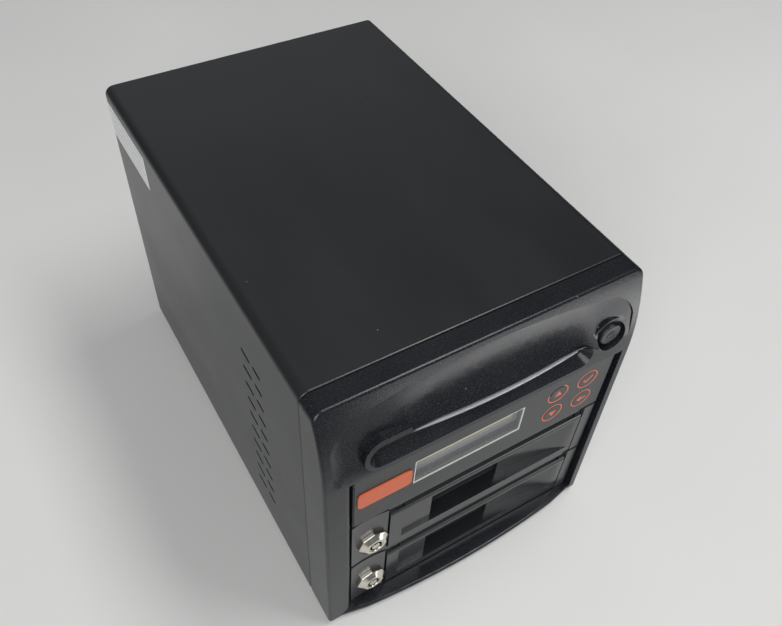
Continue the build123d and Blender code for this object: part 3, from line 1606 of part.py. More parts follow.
def drive_cable(name, level):
    """Drive cable from a rack board up and forward to the controller board."""
    x = data_socket_x()[level]
    y0 = panel_front_y + rack_body_depth + board_thickness + 5
    z0 = rack_floor_z(level) + 24
    z1 = controller_board_z() + board_thickness + 5
    back = y0 + 14
    return tube(name, [(x, y0, z0), (x, back, z0), (x, back, z1), (x, seam_y + 129, z1)], cable_radius)


def power_leads():
    """Leads from the power supply to the controller board and the two rack boards."""
    x = power_socket_x()
    z = psu_low_z + 8
    y = seam_y + 45
    low = controller_board_z() + board_thickness + 9
    leads = [tube("controller lead", [(x, psu_front_y, z), (x, y, z), (x, y, low)], power_cable_radius)]
    for level in range(2):
        run_y = psu_front_y + 108 + 10 * level
        board_y = panel_front_y + rack_body_depth + board_thickness + 5
        drop_z = rack_floor_z(level) + 24
        x = rack_power_x
        points = [(psu_left, run_y, z), (x, run_y, z), (x, run_y, drop_z), (x, board_y, drop_z)]
        leads.append(tube("rack lead", points, power_cable_radius))
    return solids_of(leads)


def display_ribbon():
    """Flat ribbon from the display's header to the controller board."""
    y0 = display_board_y() + board_thickness + 5
    z0 = control_mid_z + 10
    y1 = seam_y + 27
    z1 = controller_board_z() + board_thickness + 7
    path = FilletPolyline((y0, z0), (y1, z0), (y1, z1), radius=0.9 * min(y1 - y0, z0 - z1))
    strip = trace(path, ribbon_thickness)
    return side_prism(strip, window_x - ribbon_width / 2, window_x + ribbon_width / 2)


def build_nodes():
    """Every sub-part by its node name."""
    nodes = {
        "top_cover": top_cover(),
        "base_chassis": base_chassis(),
        "rear_panel": rear_panel(),
        "bay_cage": bay_cage(),
        "front_bezel": front_bezel(),
        "control_panel": control_panel(),
        "panel_overlay": panel_overlay(),
        "display_window": display_window(),
        "display_frame": display_frame(),
        "display_glass": display_glass(),
        "display_board": display_board(),
        "key_board": key_board(),
        "panel_carrier": panel_carrier(),
        "controller_board": controller_board(),
        "board_standoffs": board_standoffs(),
        "badge_plate": badge_plate(),
        "side_label": side_label(),
        "power_button": power_button(),
        "power_switch": power_switch(),
        "key_switches": key_switches(),
        "rack_sockets": rack_sockets(),
        "power_supply": power_supply(),
        "psu_fan_rotor": psu_fan_rotor(),
        "power_inlet": power_inlet(),
        "power_rocker": power_rocker(),
        "exhaust_fan_frame": exhaust_fan_frame(),
        "exhaust_fan_rotor": exhaust_fan_rotor(),
        "fan_guard": fan_guard(),
        "feet": feet(),
        "foot_screws": foot_screws(),
        "rear_screws": rear_screws(),
        "rack_screws": rack_screws(),
        "display_ribbon": display_ribbon(),
        "power_leads": power_leads(),
    }
    for name, (x, z) in key_places().items():
        nodes[name] = key_cap(x, z)
    for level, name in enumerate(("lower", "upper")):
        nodes[name + "_rack_frame"] = rack_frame(level)
        nodes[name + "_rack_board"] = rack_board(level)
        nodes[name + "_tray"] = tray(level)
        nodes[name + "_tray_front"] = tray_front(level)
        nodes[name + "_tray_plug"] = tray_plug(level)
        nodes[name + "_handle"] = handle(level)
        nodes[name + "_handle_pin"] = handle_pin(level)
        nodes[name + "_lock_housing"] = lock_housing(level)
        nodes[name + "_lock_plug"] = lock_plug(level)
        nodes[name + "_lock_cam"] = lock_cam(level)
        nodes[name + "_data_cable"] = drive_cable(name + "_data_cable", level)
    return nodes


os.makedirs("parts", exist_ok=True)
for node, shape in build_nodes().items():
    export_step(shape, "parts/" + node + ".step")
print("bay top", round(bay_top_z, 2), "seam", round(seam_y, 2), "depth", round(overall_depth, 2))
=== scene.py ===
import json
import logging
import math
from abc import ABC, abstractmethod
from dataclasses import dataclass, field
from enum import Enum
from typing import Callable, Iterable, Sequence

import bmesh
import bpy
from mathutils import Matrix, Vector


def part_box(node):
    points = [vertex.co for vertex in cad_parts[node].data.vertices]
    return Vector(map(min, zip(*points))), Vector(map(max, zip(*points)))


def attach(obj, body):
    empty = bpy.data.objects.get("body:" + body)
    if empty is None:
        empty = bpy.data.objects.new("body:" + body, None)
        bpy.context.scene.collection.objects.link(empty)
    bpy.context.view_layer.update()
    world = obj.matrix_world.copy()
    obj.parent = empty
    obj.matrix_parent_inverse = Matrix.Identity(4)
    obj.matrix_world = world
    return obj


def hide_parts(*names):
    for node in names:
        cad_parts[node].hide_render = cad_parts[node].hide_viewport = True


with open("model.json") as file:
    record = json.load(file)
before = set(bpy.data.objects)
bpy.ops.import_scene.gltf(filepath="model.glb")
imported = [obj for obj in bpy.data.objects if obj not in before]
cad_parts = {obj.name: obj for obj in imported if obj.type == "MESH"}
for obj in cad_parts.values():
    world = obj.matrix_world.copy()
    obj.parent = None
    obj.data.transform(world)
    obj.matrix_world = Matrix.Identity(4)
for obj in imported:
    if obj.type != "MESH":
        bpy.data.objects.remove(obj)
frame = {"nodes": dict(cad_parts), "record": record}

log = logging.getLogger("drive_duplicator")

MM = 0.001
BODIES = frame["record"]["behaviour"]["bodies"]
BODY_OF = {node: body for body, nodes in BODIES.items() for node in nodes}
FACING = 0.9
MERGE_REACH = 0.002 * MM
FLAT_ANGLE = 0.2

Number = int | float
Colour = tuple[float, float, float]
Triple = tuple[float, float, float]
Outline = tuple[tuple[float, float], ...]
Piece = bpy.types.Object
Material = bpy.types.Material


def ink(red: int, green: int, blue: int) -> Colour:
    """Turn a colour as seen on a screen, 0 to 255, into the linear one that shaders use.

    Args:
        red: Red, 0 to 255.
        green: Green, 0 to 255.
        blue: Blue, 0 to 255.

    Returns:
        The linear colour.
    """
    def linear(value: int) -> float:
        """One channel, as a linear value."""
        share = value / 255
        return share / 12.92 if share <= 0.04045 else ((share + 0.055) / 1.055) ** 2.4

    return linear(red), linear(green), linear(blue)


def operator(operation: str, swapped: bool = False) -> Callable[["Signal", object], "Signal"]:
    """Make the method that stands for one of Python's operators.

    Args:
        operation: What the Math node does.
        swapped: Whether the signal is the second of the two values.

    Returns:
        The method.
    """
    def method(self: "Signal", other: "Signal | Number") -> "Signal":
        """Add the Math node."""
        first, second = (other, self) if swapped else (self, other)
        return self.graph.add("ShaderNodeMath", {"operation": operation}, {0: first, 1: second})

    return method


class Signal:
    """One socket of a material, with Python's operators as its sums."""

    __add__ = operator("ADD")
    __radd__ = operator("ADD", True)
    __sub__ = operator("SUBTRACT")
    __rsub__ = operator("SUBTRACT", True)
    __mul__ = operator("MULTIPLY")
    __truediv__ = operator("DIVIDE")
    __mod__ = operator("FLOORED_MODULO")
    __gt__ = operator("GREATER_THAN")
    __lt__ = operator("LESS_THAN")

    def __init__(self, graph: "Graph", socket: bpy.types.NodeSocket) -> None:
        """Keep the socket and the graph it belongs to."""
        self.graph = graph
        self.socket = socket

    def ramp(self, low: Number, high: Number, start: Number = 0.0, end: Number = 1.0) -> "Signal":
        """Map the range low to high onto start to end, and hold it there.

        Args:
            low: Value that gives start.
            high: Value that gives end.
            start: Result at low.
            end: Result at high.

        Returns:
            The mapped value.
        """
        values = {"From Min": low, "From Max": high, "To Min": start, "To Max": end, "Value": self}
        return self.graph.add("ShaderNodeMapRange", {"clamp": True}, values)


class Graph:
    """A node tree of a material or of the world, built from expressions."""

    def __init__(self, owner: str | bpy.types.World) -> None:
        """Start an empty tree in a new material of that name, or in the given world."""
        self.owner = bpy.data.materials.new(owner) if isinstance(owner, str) else owner
        self.owner.use_nodes = True
        self.tree = self.owner.node_tree
        self.tree.nodes.clear()

    def add(self, kind: str, settings: dict, inputs: dict, output: int | str = 0) -> Signal:
        """Add any node.

        Args:
            kind: The node's type.
            settings: Its own settings.
            inputs: Values or signals by socket name or number.
            output: The socket to take the result from.

        Returns:
            The chosen output.
        """
        node = self.tree.nodes.new(kind)
        for key, value in settings.items():
            setattr(node, key, value)
        for key, value in inputs.items():
            self.feed(node, key, value)
        return Signal(self, node.outputs[output])

    def feed(self, node: bpy.types.Node, key: int | str, value: object) -> None:
        """Set one input of a node to a value, or link a signal to it."""
        socket = node.inputs[key]
        if isinstance(value, Signal):
            self.tree.links.new(value.socket, socket)
        elif isinstance(value, tuple) and socket.type == "RGBA":
            socket.default_value = (*value, 1.0)
        else:
            socket.default_value = value

    def place(self) -> Signal:
        """The point on the object, in metres."""
        return self.add("ShaderNodeTexCoord", {}, {}, "Object")

    def axes(self) -> tuple[Signal, Signal, Signal]:
        """The point's X, Y and Z as three signals."""
        split = self.add("ShaderNodeSeparateXYZ", {}, {0: self.place()})
        outputs = split.socket.node.outputs
        return Signal(self, outputs[0]), Signal(self, outputs[1]), Signal(self, outputs[2])

    def vectors(
        self, operation: str, first: Signal, second: Triple, output: int | str = 0
    ) -> Signal:
        """Join a signal and a fixed vector by one operation."""
        settings = {"operation": operation}
        return self.add("ShaderNodeVectorMath", settings, {0: first, 1: second}, output)

    def stretched(self, scale: Triple) -> Signal:
        """The point with each axis scaled, for streaks."""
        return self.vectors("MULTIPLY", self.place(), scale)

    def noise(self, grain: float, detail: float = 3.0, vector: Signal | None = None) -> Signal:
        """Cloudy noise whose lumps are about grain metres wide."""
        values = {"Scale": 1 / grain, "Detail": detail, "Vector": vector or self.place()}
        return self.add("ShaderNodeTexNoise", {}, values)

    def cells(self, grain: float) -> Signal:
        """Distance to the nearest of scattered points about grain metres apart."""
        values = {"Scale": 1 / grain, "Vector": self.place()}
        return self.add("ShaderNodeTexVoronoi", {"feature": "F1"}, values)

    def blend(self, low: Signal | Colour, high: Signal | Colour, factor: Signal) -> Signal:
        """A colour between low and high."""
        settings = {"data_type": "RGBA", "blend_type": "MIX"}
        return self.add("ShaderNodeMix", settings, {0: factor, 6: low, 7: high}, 2)

    def bump(self, height: Signal, depth: float, strength: float) -> Signal:
        """A normal roughened by height, whose full range is depth metres."""
        values = {"Height": height, "Distance": depth, "Strength": strength}
        return self.add("ShaderNodeBump", {}, values, "Normal")

    def surface(self, **sockets: object) -> Material:
        """Finish with the one shader, its sockets named with underscores for spaces."""
        values = {name.replace("_", " "): value for name, value in sockets.items()}
        shader = self.add("ShaderNodeBsdfPrincipled", {}, values)
        self.end(shader, "ShaderNodeOutputMaterial")
        return self.owner

    def end(self, shader: Signal, kind: str) -> None:
        """Link a shader to an output node of that kind."""
        output = self.tree.nodes.new(kind)
        self.tree.links.new(shader.socket, output.inputs["Surface"])


@dataclass(frozen=True)
class Finish(ABC):
    """What one kind of surface looks like."""

    name: str
    colour: Colour

    @abstractmethod
    def material(self) -> Material:
        """Build the material."""

    def toned(self, share: float) -> Colour:
        """The colour made darker or lighter by a factor."""
        return tuple(channel * share for channel in self.colour)


LINT = ink(150, 150, 146)
DUST = ink(140, 140, 136)
# Painted glint: the light bluish grey that the plastic's grain is mixed towards where it would
# sparkle.
GLINT = ink(92, 95, 100)
VIA = ink(196, 178, 120)
MARKED_WIRE = ink(150, 40, 36)


@dataclass(frozen=True)
class PowderCoat(Finish):
    """Satin powder coat on folded steel, with faint orange peel, dust and wiped streaks."""

    roughness: float = 0.40
    peel: float = 0.0009
    dust: float = 0.011
    speck: float = 0.028
    wipe: float = 0.045
    wipe_stretch: Triple = (1.0, 0.35, 0.7)
    relief: float = 0.00004

    def material(self) -> Material:
        """Build the material."""
        graph = Graph(self.name)
        peel = graph.noise(self.peel, 2.0)
        fine = graph.noise(self.peel * 0.3, 1.0)
        wiped = graph.noise(self.wipe, 4.0, graph.stretched(self.wipe_stretch))
        speck = (graph.cells(self.dust) < self.speck) * (graph.noise(0.03) > 0.5)
        lint = speck * graph.noise(0.008).ramp(0.4, 0.6)
        tone = graph.blend(self.colour, self.toned(1.35), wiped.ramp(0.35, 0.7))
        colour = graph.blend(tone, LINT, lint * 0.6)
        rough = wiped.ramp(0.3, 0.7, self.roughness - 0.03, self.roughness + 0.05) + lint * 0.3
        normal = graph.bump(peel * 0.7 + fine * 0.3, self.relief, 0.6)
        return graph.surface(Base_Color=colour, Roughness=rough, Normal=normal)


@dataclass(frozen=True)
class SparkPlastic(Finish):
    """Moulded plastic with a spark-eroded grain."""

    roughness: float = 0.42
    grain: float = 0.0009
    depth: float = 0.00006
    sheen_patch: float = 0.04
    sparkle: float = 0.04
    shine: float = 0.5
    patch: float = 0.03
    dust: float = 0.014
    speck: float = 0.025

    def material(self) -> Material:
        """Build the material."""
        graph = Graph(self.name)
        coarse = graph.noise(self.grain, 2.0)
        fine = graph.noise(self.grain * 0.45, 1.0)
        spark = fine.ramp(0.56, 0.74)
        cloud = graph.noise(self.patch, 3.0)
        dust = (graph.cells(self.dust) < self.speck) * (graph.noise(0.02) > 0.55)
        tone = graph.blend(self.colour, self.toned(1.3), cloud.ramp(0.35, 0.7))
        # Painted glints: the grain's high spots are mixed towards GLINT, a painted highlight for the
        # grain's sparkle.
        sparked = graph.blend(tone, GLINT, spark * self.sparkle)
        colour = graph.blend(sparked, DUST, dust * 0.5)
        smoothest = self.roughness - self.sheen_patch / 2
        rough = cloud.ramp(0.3, 0.7, smoothest, self.roughness + self.sheen_patch)
        normal = graph.bump(coarse * 0.65 + fine * 0.35, self.depth, 0.8)
        values = {"Base_Color": colour, "Roughness": rough, "Specular_IOR_Level": self.shine}
        return graph.surface(**values, Normal=normal)


@dataclass(frozen=True)
class SheetZinc(Finish):
    """Zinc-plated or plain rolled sheet with a rolled grain along the depth."""

    roughness: float = 0.34
    streak: Triple = (1.0, 0.06, 1.0)
    grain: float = 0.0012
    bloom: float = 0.012
    relief: float = 0.00002

    def material(self) -> Material:
        """Build the material."""
        graph = Graph(self.name)
        rolled = graph.noise(self.grain, 3.0, graph.stretched(self.streak))
        bloom = graph.noise(self.bloom, 4.0)
        colour = graph.blend(self.toned(0.8), self.colour, bloom.ramp(0.3, 0.7))
        uneven = bloom.ramp(0.4, 0.7, 0.0, 0.06)
        rough = self.roughness + rolled.ramp(0.3, 0.7, -0.05, 0.08) + uneven
        normal = graph.bump(rolled, self.relief, 0.5)
        return graph.surface(Base_Color=colour, Roughness=rough, Metallic=1.0, Normal=normal)


@dataclass(frozen=True)
class PolishedNickel(Finish):
    """Bright nickel with hairline scratches and faint handling marks."""

    roughness: float = 0.11
    rubbed: float = 0.09
    hair: float = 0.0006
    hair_stretch: Triple = (1.0, 1.0, 0.08)
    relief: float = 0.00001

    def material(self) -> Material:
        """Build the material."""
        graph = Graph(self.name)
        hair = graph.noise(self.hair, 3.0, graph.stretched(self.hair_stretch))
        marks = graph.noise(0.004, 3.0)
        colour = graph.blend(self.toned(0.82), self.colour, marks.ramp(0.35, 0.65))
        rough = marks.ramp(0.35, 0.7, self.roughness, self.roughness + self.rubbed)
        normal = graph.bump(hair, self.relief, 0.35)
        return graph.surface(Base_Color=colour, Roughness=rough, Metallic=1.0, Normal=normal)


@dataclass(frozen=True)
class BoardLaminate(Finish):
    """Circuit board lacquer with etched tracks and small vias."""

    track_pitch: float = 0.0028
    via_gap: float = 0.0045
    via_size: float = 0.1
    relief: float = 0.00003

    def material(self) -> Material:
        """Build the material."""
        graph = Graph(self.name)
        across, along, up = graph.axes()
        bend = graph.noise(0.02, 0.0) * 0.01
        rows = ((across + up + bend) % self.track_pitch) < self.track_pitch * 0.32
        lanes = ((along + bend) % (self.track_pitch * 1.7)) < self.track_pitch * 0.4
        region = graph.noise(0.016, 1.0) > 0.52
        tracks = region * rows + (1 - region) * lanes
        vias = graph.cells(self.via_gap) < self.via_size
        lacquer = graph.blend(self.colour, self.toned(1.9), tracks * 0.7)
        colour = graph.blend(lacquer, VIA, vias)
        normal = graph.bump(tracks, self.relief, 0.5)
        return graph.surface(Base_Color=colour, Roughness=0.32, Normal=normal)


@dataclass(frozen=True)
class SoftSkin(Finish):
    """Rubber, cable jacket, nylon or paper: a matt skin with a fine tooth."""

    roughness: float = 0.7
    grain: float = 0.0007
    depth: float = 0.00003
    mottle: float = 0.25
    cloud: float = 0.006

    def material(self) -> Material:
        """Build the material."""
        graph = Graph(self.name)
        tooth = graph.noise(self.grain, 3.0)
        cloud = graph.noise(self.cloud, 3.0)
        colour = graph.blend(self.toned(1 - self.mottle), self.colour, cloud.ramp(0.3, 0.7))
        rough = cloud.ramp(0.3, 0.7, self.roughness - 0.06, self.roughness + 0.05)
        normal = graph.bump(tooth, self.depth, 0.6)
        return graph.surface(Base_Color=colour, Roughness=rough, Normal=normal)


@dataclass(frozen=True)
class RibbonJacket(Finish):
    """Grey ribbon with its wires side by side and one marked edge."""

    pitch: float = 0.00127
    edge: float = 0.0
    relief: float = 0.0002

    def material(self) -> Material:
        """Build the material."""
        graph = Graph(self.name)
        across, _, _ = graph.axes()
        lane = (across % self.pitch) / self.pitch
        ridge = lane.ramp(0.0, 0.5) * lane.ramp(1.0, 0.5)
        grey = graph.blend(self.toned(0.7), self.colour, ridge.ramp(0.0, 0.5))
        colour = graph.blend(grey, MARKED_WIRE, across < self.edge)
        normal = graph.bump(ridge, self.relief, 0.8)
        return graph.surface(Base_Color=colour, Roughness=0.5, Normal=normal)


@dataclass(frozen=True)
class DisplayFace(Finish):
    """Reflective display face: two rows of faint character cells."""

    middle: tuple[float, float] = (0.0, 0.0)
    cell: tuple[float, float] = (0.0035, 0.0054)
    filled: tuple[float, float] = (0.82, 0.86)
    dot_pitch: tuple[float, float] = (0.164, 0.107)
    dot_size: tuple[float, float] = (0.13, 0.085)

    def material(self) -> Material:
        """Build the material."""
        graph = Graph(self.name)
        across, _, up = graph.axes()
        wide, tall = self.cell
        column = (across - self.middle[0]) % wide
        row = (up - self.middle[1]) % tall
        inside = (column < wide * self.filled[0]) * (row < tall * self.filled[1])
        dot = (column % (wide * self.dot_pitch[0])) < wide * self.dot_size[0]
        line = (row % (tall * self.dot_pitch[1])) < tall * self.dot_size[1]
        cloud = graph.noise(0.02, 2.0).ramp(0.3, 0.7)
        field_tone = graph.blend(self.toned(0.9), self.colour, cloud)
        dots = inside * dot * line
        colour = graph.blend(field_tone, self.toned(0.92), dots)
        normal = graph.bump(cloud, 0.00002, 0.2)
        return graph.surface(Base_Color=colour, Roughness=0.22, Normal=normal)


@dataclass(frozen=True)
class ClearPane(Finish):
    """Clear acrylic, a little hazed, with fine rub marks."""

    haze: float = 0.19
    rub: float = 0.002
    rub_stretch: Triple = (0.2, 1.0, 1.0)

    def material(self) -> Material:
        """Build the material."""
        graph = Graph(self.name)
        rub = graph.noise(self.rub, 3.0, graph.stretched(self.rub_stretch))
        alpha = rub.ramp(0.3, 0.7, self.haze * 0.96, self.haze * 1.04)
        normal = graph.bump(rub, 0.00001, 0.2)
        return graph.surface(Base_Color=self.colour, Roughness=0.06, Alpha=alpha, Normal=normal)


@dataclass(frozen=True)
class PaperSweep(Finish):
    """The pale floor: matt paper, a little uneven, painted much darker outside a wide pool, as
    painted shade that the machine's glossy faces reflect.
    """

    middle: Triple = (0.25, 0.45, 0.0)
    pool: float = 0.73
    fade: float = 0.98
    cloud: float = 0.35
    tooth: float = 0.004

    def material(self) -> Material:
        """Build the material."""
        graph = Graph(self.name)
        cloud = graph.noise(self.cloud, 3.0)
        tooth = graph.noise(self.tooth, 4.0)
        pale = graph.blend(self.toned(0.94), self.colour, cloud.ramp(0.3, 0.7))
        away = graph.vectors("DISTANCE", graph.place(), self.middle, "Value")
        # Painted shade: outside the pool the paper's colour is painted down to 0.14 of itself.
        colour = graph.blend(pale, self.toned(0.14), away.ramp(self.pool, self.fade))
        normal = graph.bump(tooth, 0.0002, 0.25)
        return graph.surface(Base_Color=colour, Roughness=0.75, Normal=normal)


class Look(Enum):
    """The finishes of this machine, by what they cover."""

    COVER = PowderCoat("cover_powder_coat", ink(27, 29, 31), 0.31)
    CHASSIS = PowderCoat("chassis_powder_coat", ink(42, 43, 45), 0.5)
    BEZEL = SparkPlastic("bezel_spark_plastic", ink(20, 22, 26), 0.24, sparkle=0.35, shine=0.36)
    # Painted highlight: light grey on the bezel's slot lip, standing in for the light that its black
    # rounded edge catches.
    LIP = SparkPlastic("painted_lip_highlight", ink(150, 154, 158), 0.20, depth=0.00001)
    PANEL = SparkPlastic("panel_plastic", ink(28, 29, 31), 0.36, grain=0.0006, depth=0.00003)
    RACK = SparkPlastic("rack_plastic", ink(27, 28, 30), 0.24, 0.0007, 0.00002, shine=0.42)
    HANDLE = SparkPlastic("handle_plastic", ink(28, 30, 32), 0.17, grain=0.0008, depth=0.00001)
    # Painted shade: near black on the top strip of each rack's fascia, where the gap above it lies in
    # shadow.
    RECESS = SoftSkin("painted_gap_shade", ink(5, 5, 6), 0.95)
    TRAY = SparkPlastic("tray_plastic", ink(34, 34, 36), 0.45, grain=0.0011)
    FILM = SparkPlastic("printed_film", ink(32, 34, 35), 0.34, grain=0.0004, depth=0.00001)
    KEYCAP = SparkPlastic("key_film", ink(32, 34, 35), 0.32, grain=0.0004, depth=0.00001)
    MARK = SoftSkin("orange_print", ink(206, 104, 76), 0.45, depth=0.00001, mottle=0.12)
    BADGE = SoftSkin("badge_enamel", ink(204, 92, 50), 0.34, depth=0.00001, mottle=0.08)
    PANE = ClearPane("clear_pane", ink(176, 178, 182))
    PANE_EDGE = SoftSkin("pane_edge_line", ink(215, 218, 214), 0.3, mottle=0.05)
    SURROUND = SoftSkin("display_surround", ink(164, 166, 172), 0.4, mottle=0.06)
    ZINC = SheetZinc("zinc_sheet", ink(186, 188, 190))
    STEEL = SheetZinc("plain_steel", ink(170, 170, 172), 0.28)
    NICKEL = PolishedNickel("lock_nickel", ink(226, 220, 208))
    WIRE = PolishedNickel("guard_wire", ink(205, 206, 206), 0.18)
    BLACK_SCREW = PolishedNickel("black_screw", ink(70, 70, 72), 0.3)
    BRASS = PolishedNickel("inlet_pins", ink(214, 190, 120), 0.2)
    BOARD = BoardLaminate("board_laminate", ink(20, 78, 48))
    CHIP = SoftSkin("chip_epoxy", ink(34, 34, 36), 0.55)
    SOLDER = PolishedNickel("solder_tin", ink(190, 192, 194), 0.3)
    NYLON = SoftSkin("connector_nylon", ink(52, 52, 54), 0.5)
    SWITCHES = SoftSkin("switch_body", ink(64, 64, 67), 0.5)
    FAN = SparkPlastic("fan_plastic", ink(30, 30, 32), 0.4, grain=0.0012)
    RUBBER = SoftSkin("foot_rubber", ink(34, 34, 34), 0.85, grain=0.0011, depth=0.00008)
    PAPER = SoftSkin("label_paper", ink(184, 188, 186), 0.5, 0.0004, 0.00001, mottle=0.06)
    RULE = SoftSkin("label_rule", ink(120, 122, 122), 0.6)
    RED_CABLE = SoftSkin("red_jacket", ink(150, 28, 26), 0.42, grain=0.0012)
    BLACK_CABLE = SoftSkin("black_sleeve", ink(38, 38, 39), 0.6, grain=0.0009, depth=0.00008)
    WHITE_MARK = SoftSkin("white_mark", ink(205, 205, 200), 0.5, mottle=0.05)

    @property
    def material(self) -> Material:
        """The finish's material, built once."""
        found = bpy.data.materials.get(self.value.name)
        return found if found is not None else self.value.material()


def enter(name: str, data: bpy.types.ID) -> Piece:
    """Put a new object with that data into the scene."""
    piece = bpy.data.objects.new(name, data)
    bpy.context.scene.collection.objects.link(piece)
    return piece


class Bench:
    """Where new pieces are made with Blender's own modelling tools."""

    @staticmethod
    def rest() -> None:
        """Leave edit mode and select nothing."""
        if bpy.context.mode != "OBJECT":
            bpy.ops.object.mode_set(mode="OBJECT")
        bpy.ops.object.select_all(action="DESELECT")

    @staticmethod
    def hold(piece: Piece) -> None:
        """Select one piece alone."""
        Bench.rest()
        piece.select_set(True)
        bpy.context.view_layer.objects.active = piece

    @staticmethod
    def open_up(piece: Piece) -> None:
        """Go into edit mode with the whole piece selected."""
        Bench.hold(piece)
        bpy.ops.object.mode_set(mode="EDIT")
        bpy.ops.mesh.select_all(action="SELECT")

    @staticmethod
    def part_level(piece: Piece, level: float) -> None:
        """Divide the faces of a piece where they cross a level plane."""
        Bench.open_up(piece)
        bpy.ops.mesh.bisect(plane_co=(0.0, 0.0, level), plane_no=(0.0, 0.0, 1.0))
        Bench.rest()

    @staticmethod
    def named(name: str) -> Piece:
        """Give the piece just added its name."""
        piece = bpy.context.active_object
        piece.name = name
        piece.data.name = name
        return piece

    @staticmethod
    def slab(name: str, low: Vector, high: Vector) -> Piece:
        """Start a piece as a block between two corners.

        Args:
            name: The piece's name.
            low: Lowest corner.
            high: Highest corner.

        Returns:
            The piece, with its place in its mesh.
        """
        Bench.rest()
        middle = (Vector(low) + Vector(high)) / 2
        bpy.ops.mesh.primitive_cube_add(size=1.0, location=middle)
        piece = Bench.named(name)
        piece.scale = Vector(high) - Vector(low)
        Bench.settle(piece)
        return piece

    @staticmethod
    def disc(name: str, radius: float, depth: float, centre: Vector, sides: int) -> Piece:
        """Start a piece as a short rod along Y.

        Args:
            name: The piece's name.
            radius: The rod's radius.
            depth: Its length.
            centre: Its middle.
            sides: Faces round it.

        Returns:
            The piece, with its place in its mesh.
        """
        Bench.rest()
        turn = (math.radians(90), 0.0, 0.0)
        bpy.ops.mesh.primitive_cylinder_add(
            vertices=sides, radius=radius, depth=depth, location=centre, rotation=turn
        )
        piece = Bench.named(name)
        Bench.settle(piece)
        return piece

    @staticmethod
    def plate(name: str, outline: Sequence[Vector], push: Vector) -> Piece:
        """Start a piece as a flat outline pushed into a plate.

        Args:
            name: The piece's name.
            outline: The corners in order.
            push: How far and which way the outline is extruded.

        Returns:
            The piece.
        """
        mesh = bpy.data.meshes.new(name)
        mesh.from_pydata([tuple(point) for point in outline], [], [tuple(range(len(outline)))])
        piece = enter(name, mesh)
        Bench.open_up(piece)
        bpy.ops.mesh.extrude_region_move(TRANSFORM_OT_translate={"value": tuple(push)})
        bpy.ops.mesh.select_all(action="SELECT")
        bpy.ops.mesh.normals_make_consistent(inside=False)
        Bench.rest()
        return piece

    @staticmethod
    def repeat(piece: Piece, shifts: Iterable[Vector]) -> list[Piece]:
        """The piece and a copy of it, with its own mesh, for each shift."""
        copies = [piece]
        for shift in shifts:
            Bench.hold(piece)
            bpy.ops.object.duplicate()
            bpy.ops.transform.translate(value=tuple(shift))
            copy = bpy.context.active_object
            Bench.settle(copy)
            copies.append(copy)
        return copies

    @staticmethod
    def settle(piece: Piece) -> None:
        """Move the piece's place, turn and scale into its mesh."""
        Bench.hold(piece)
        bpy.ops.object.transform_apply(location=True, rotation=True, scale=True)

    @staticmethod
    def pick(piece: Piece, wanted: Callable[[bmesh.types.BMFace], bool]) -> None:
        """Go into edit mode with only the wanted faces selected."""
        Bench.hold(piece)
        bpy.ops.object.mode_set(mode="EDIT")
        bpy.ops.mesh.select_mode(type="FACE")
        bpy.ops.mesh.select_all(action="DESELECT")
        mesh = bmesh.from_edit_mesh(piece.data)
        for face in mesh.faces:
            face.select = bool(wanted(face))
        bmesh.update_edit_mesh(piece.data)

    @staticmethod
    def hollow(piece: Piece, border: float) -> None:
        """Cut a plate that faces front and back open, with a border left all round."""
        Bench.pick(piece, lambda face: abs(face.normal.y) > FACING)
        bpy.ops.mesh.inset(thickness=border)
        bpy.ops.mesh.bridge_edge_loops()
        Bench.rest()

    @staticmethod
    def round_edges(piece: Piece, width: float, segments: int, angle: float = 35.0) -> None:
        """Round every sharp edge a little, and shade the piece smooth between them.

        Args:
            piece: The piece.
            width: How wide the rounding is.
            segments: Faces across it.
            angle: Edges sharper than this, in degrees, are rounded.
        """
        Bench.hold(piece)
        rounding = piece.modifiers.new("rounded_edges", "BEVEL")
        rounding.width = width
        rounding.segments = segments
        rounding.limit_method = "ANGLE"
        rounding.angle_limit = math.radians(angle)
        rounding.use_clamp_overlap = True
        bpy.ops.object.modifier_apply(modifier=rounding.name)
        Bench.smooth(piece, angle)

    @staticmethod
    def smooth(piece: Piece, angle: float) -> None:
        """Shade smooth up to an angle in degrees, and keep large flat faces flat."""
        Bench.hold(piece)
        bpy.ops.object.shade_smooth_by_angle(angle=math.radians(angle))
        flats = piece.modifiers.new("flat_faces_stay_flat", "WEIGHTED_NORMAL")
        flats.mode = "FACE_AREA"
        flats.weight = 60
        flats.keep_sharp = True
        bpy.ops.object.modifier_apply(modifier=flats.name)

    @staticmethod
    def copy_of(node: str, name: str) -> Piece:
        """A merged copy of a CAD node's mesh, its flat faces whole again.

        Args:
            node: The CAD node.
            name: The copy's name.

        Returns:
            The copy, at the node's place.
        """
        Bench.rest()
        piece = enter(name, frame["nodes"][node].data.copy())
        Bench.hold(piece)
        bpy.ops.mesh.customdata_custom_splitnormals_clear()
        Bench.open_up(piece)
        bpy.ops.mesh.remove_doubles(threshold=MERGE_REACH)
        bpy.ops.mesh.dissolve_limited(angle_limit=math.radians(FLAT_ANGLE))
        bpy.ops.object.mode_set(mode="OBJECT")
        return piece

    @staticmethod
    def join(name: str, parts: Sequence[Piece]) -> Piece:
        """Join several pieces into one of that name."""
        Bench.rest()
        for part in parts:
            part.select_set(True)
        bpy.context.view_layer.objects.active = parts[0]
        bpy.ops.object.join()
        return Bench.named(name)


def dress(piece: Piece, look: Look) -> None:
    """Give every face of a piece one finish."""
    if not piece.material_slots:
        piece.data.materials.append(look.material)
    for slot in piece.material_slots:
        slot.material = look.material


def fit(piece: Piece, body: str, look: Look) -> Piece:
    """Finish a new piece and let it ride on a body.

    Args:
        piece: The piece.
        body: The body that it moves with.
        look: Its finish.

    Returns:
        The piece.
    """
    dress(piece, look)
    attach(piece, body)
    log.info("%s rides on %s, finish %s", piece.name, body, look.value.name)
    return piece


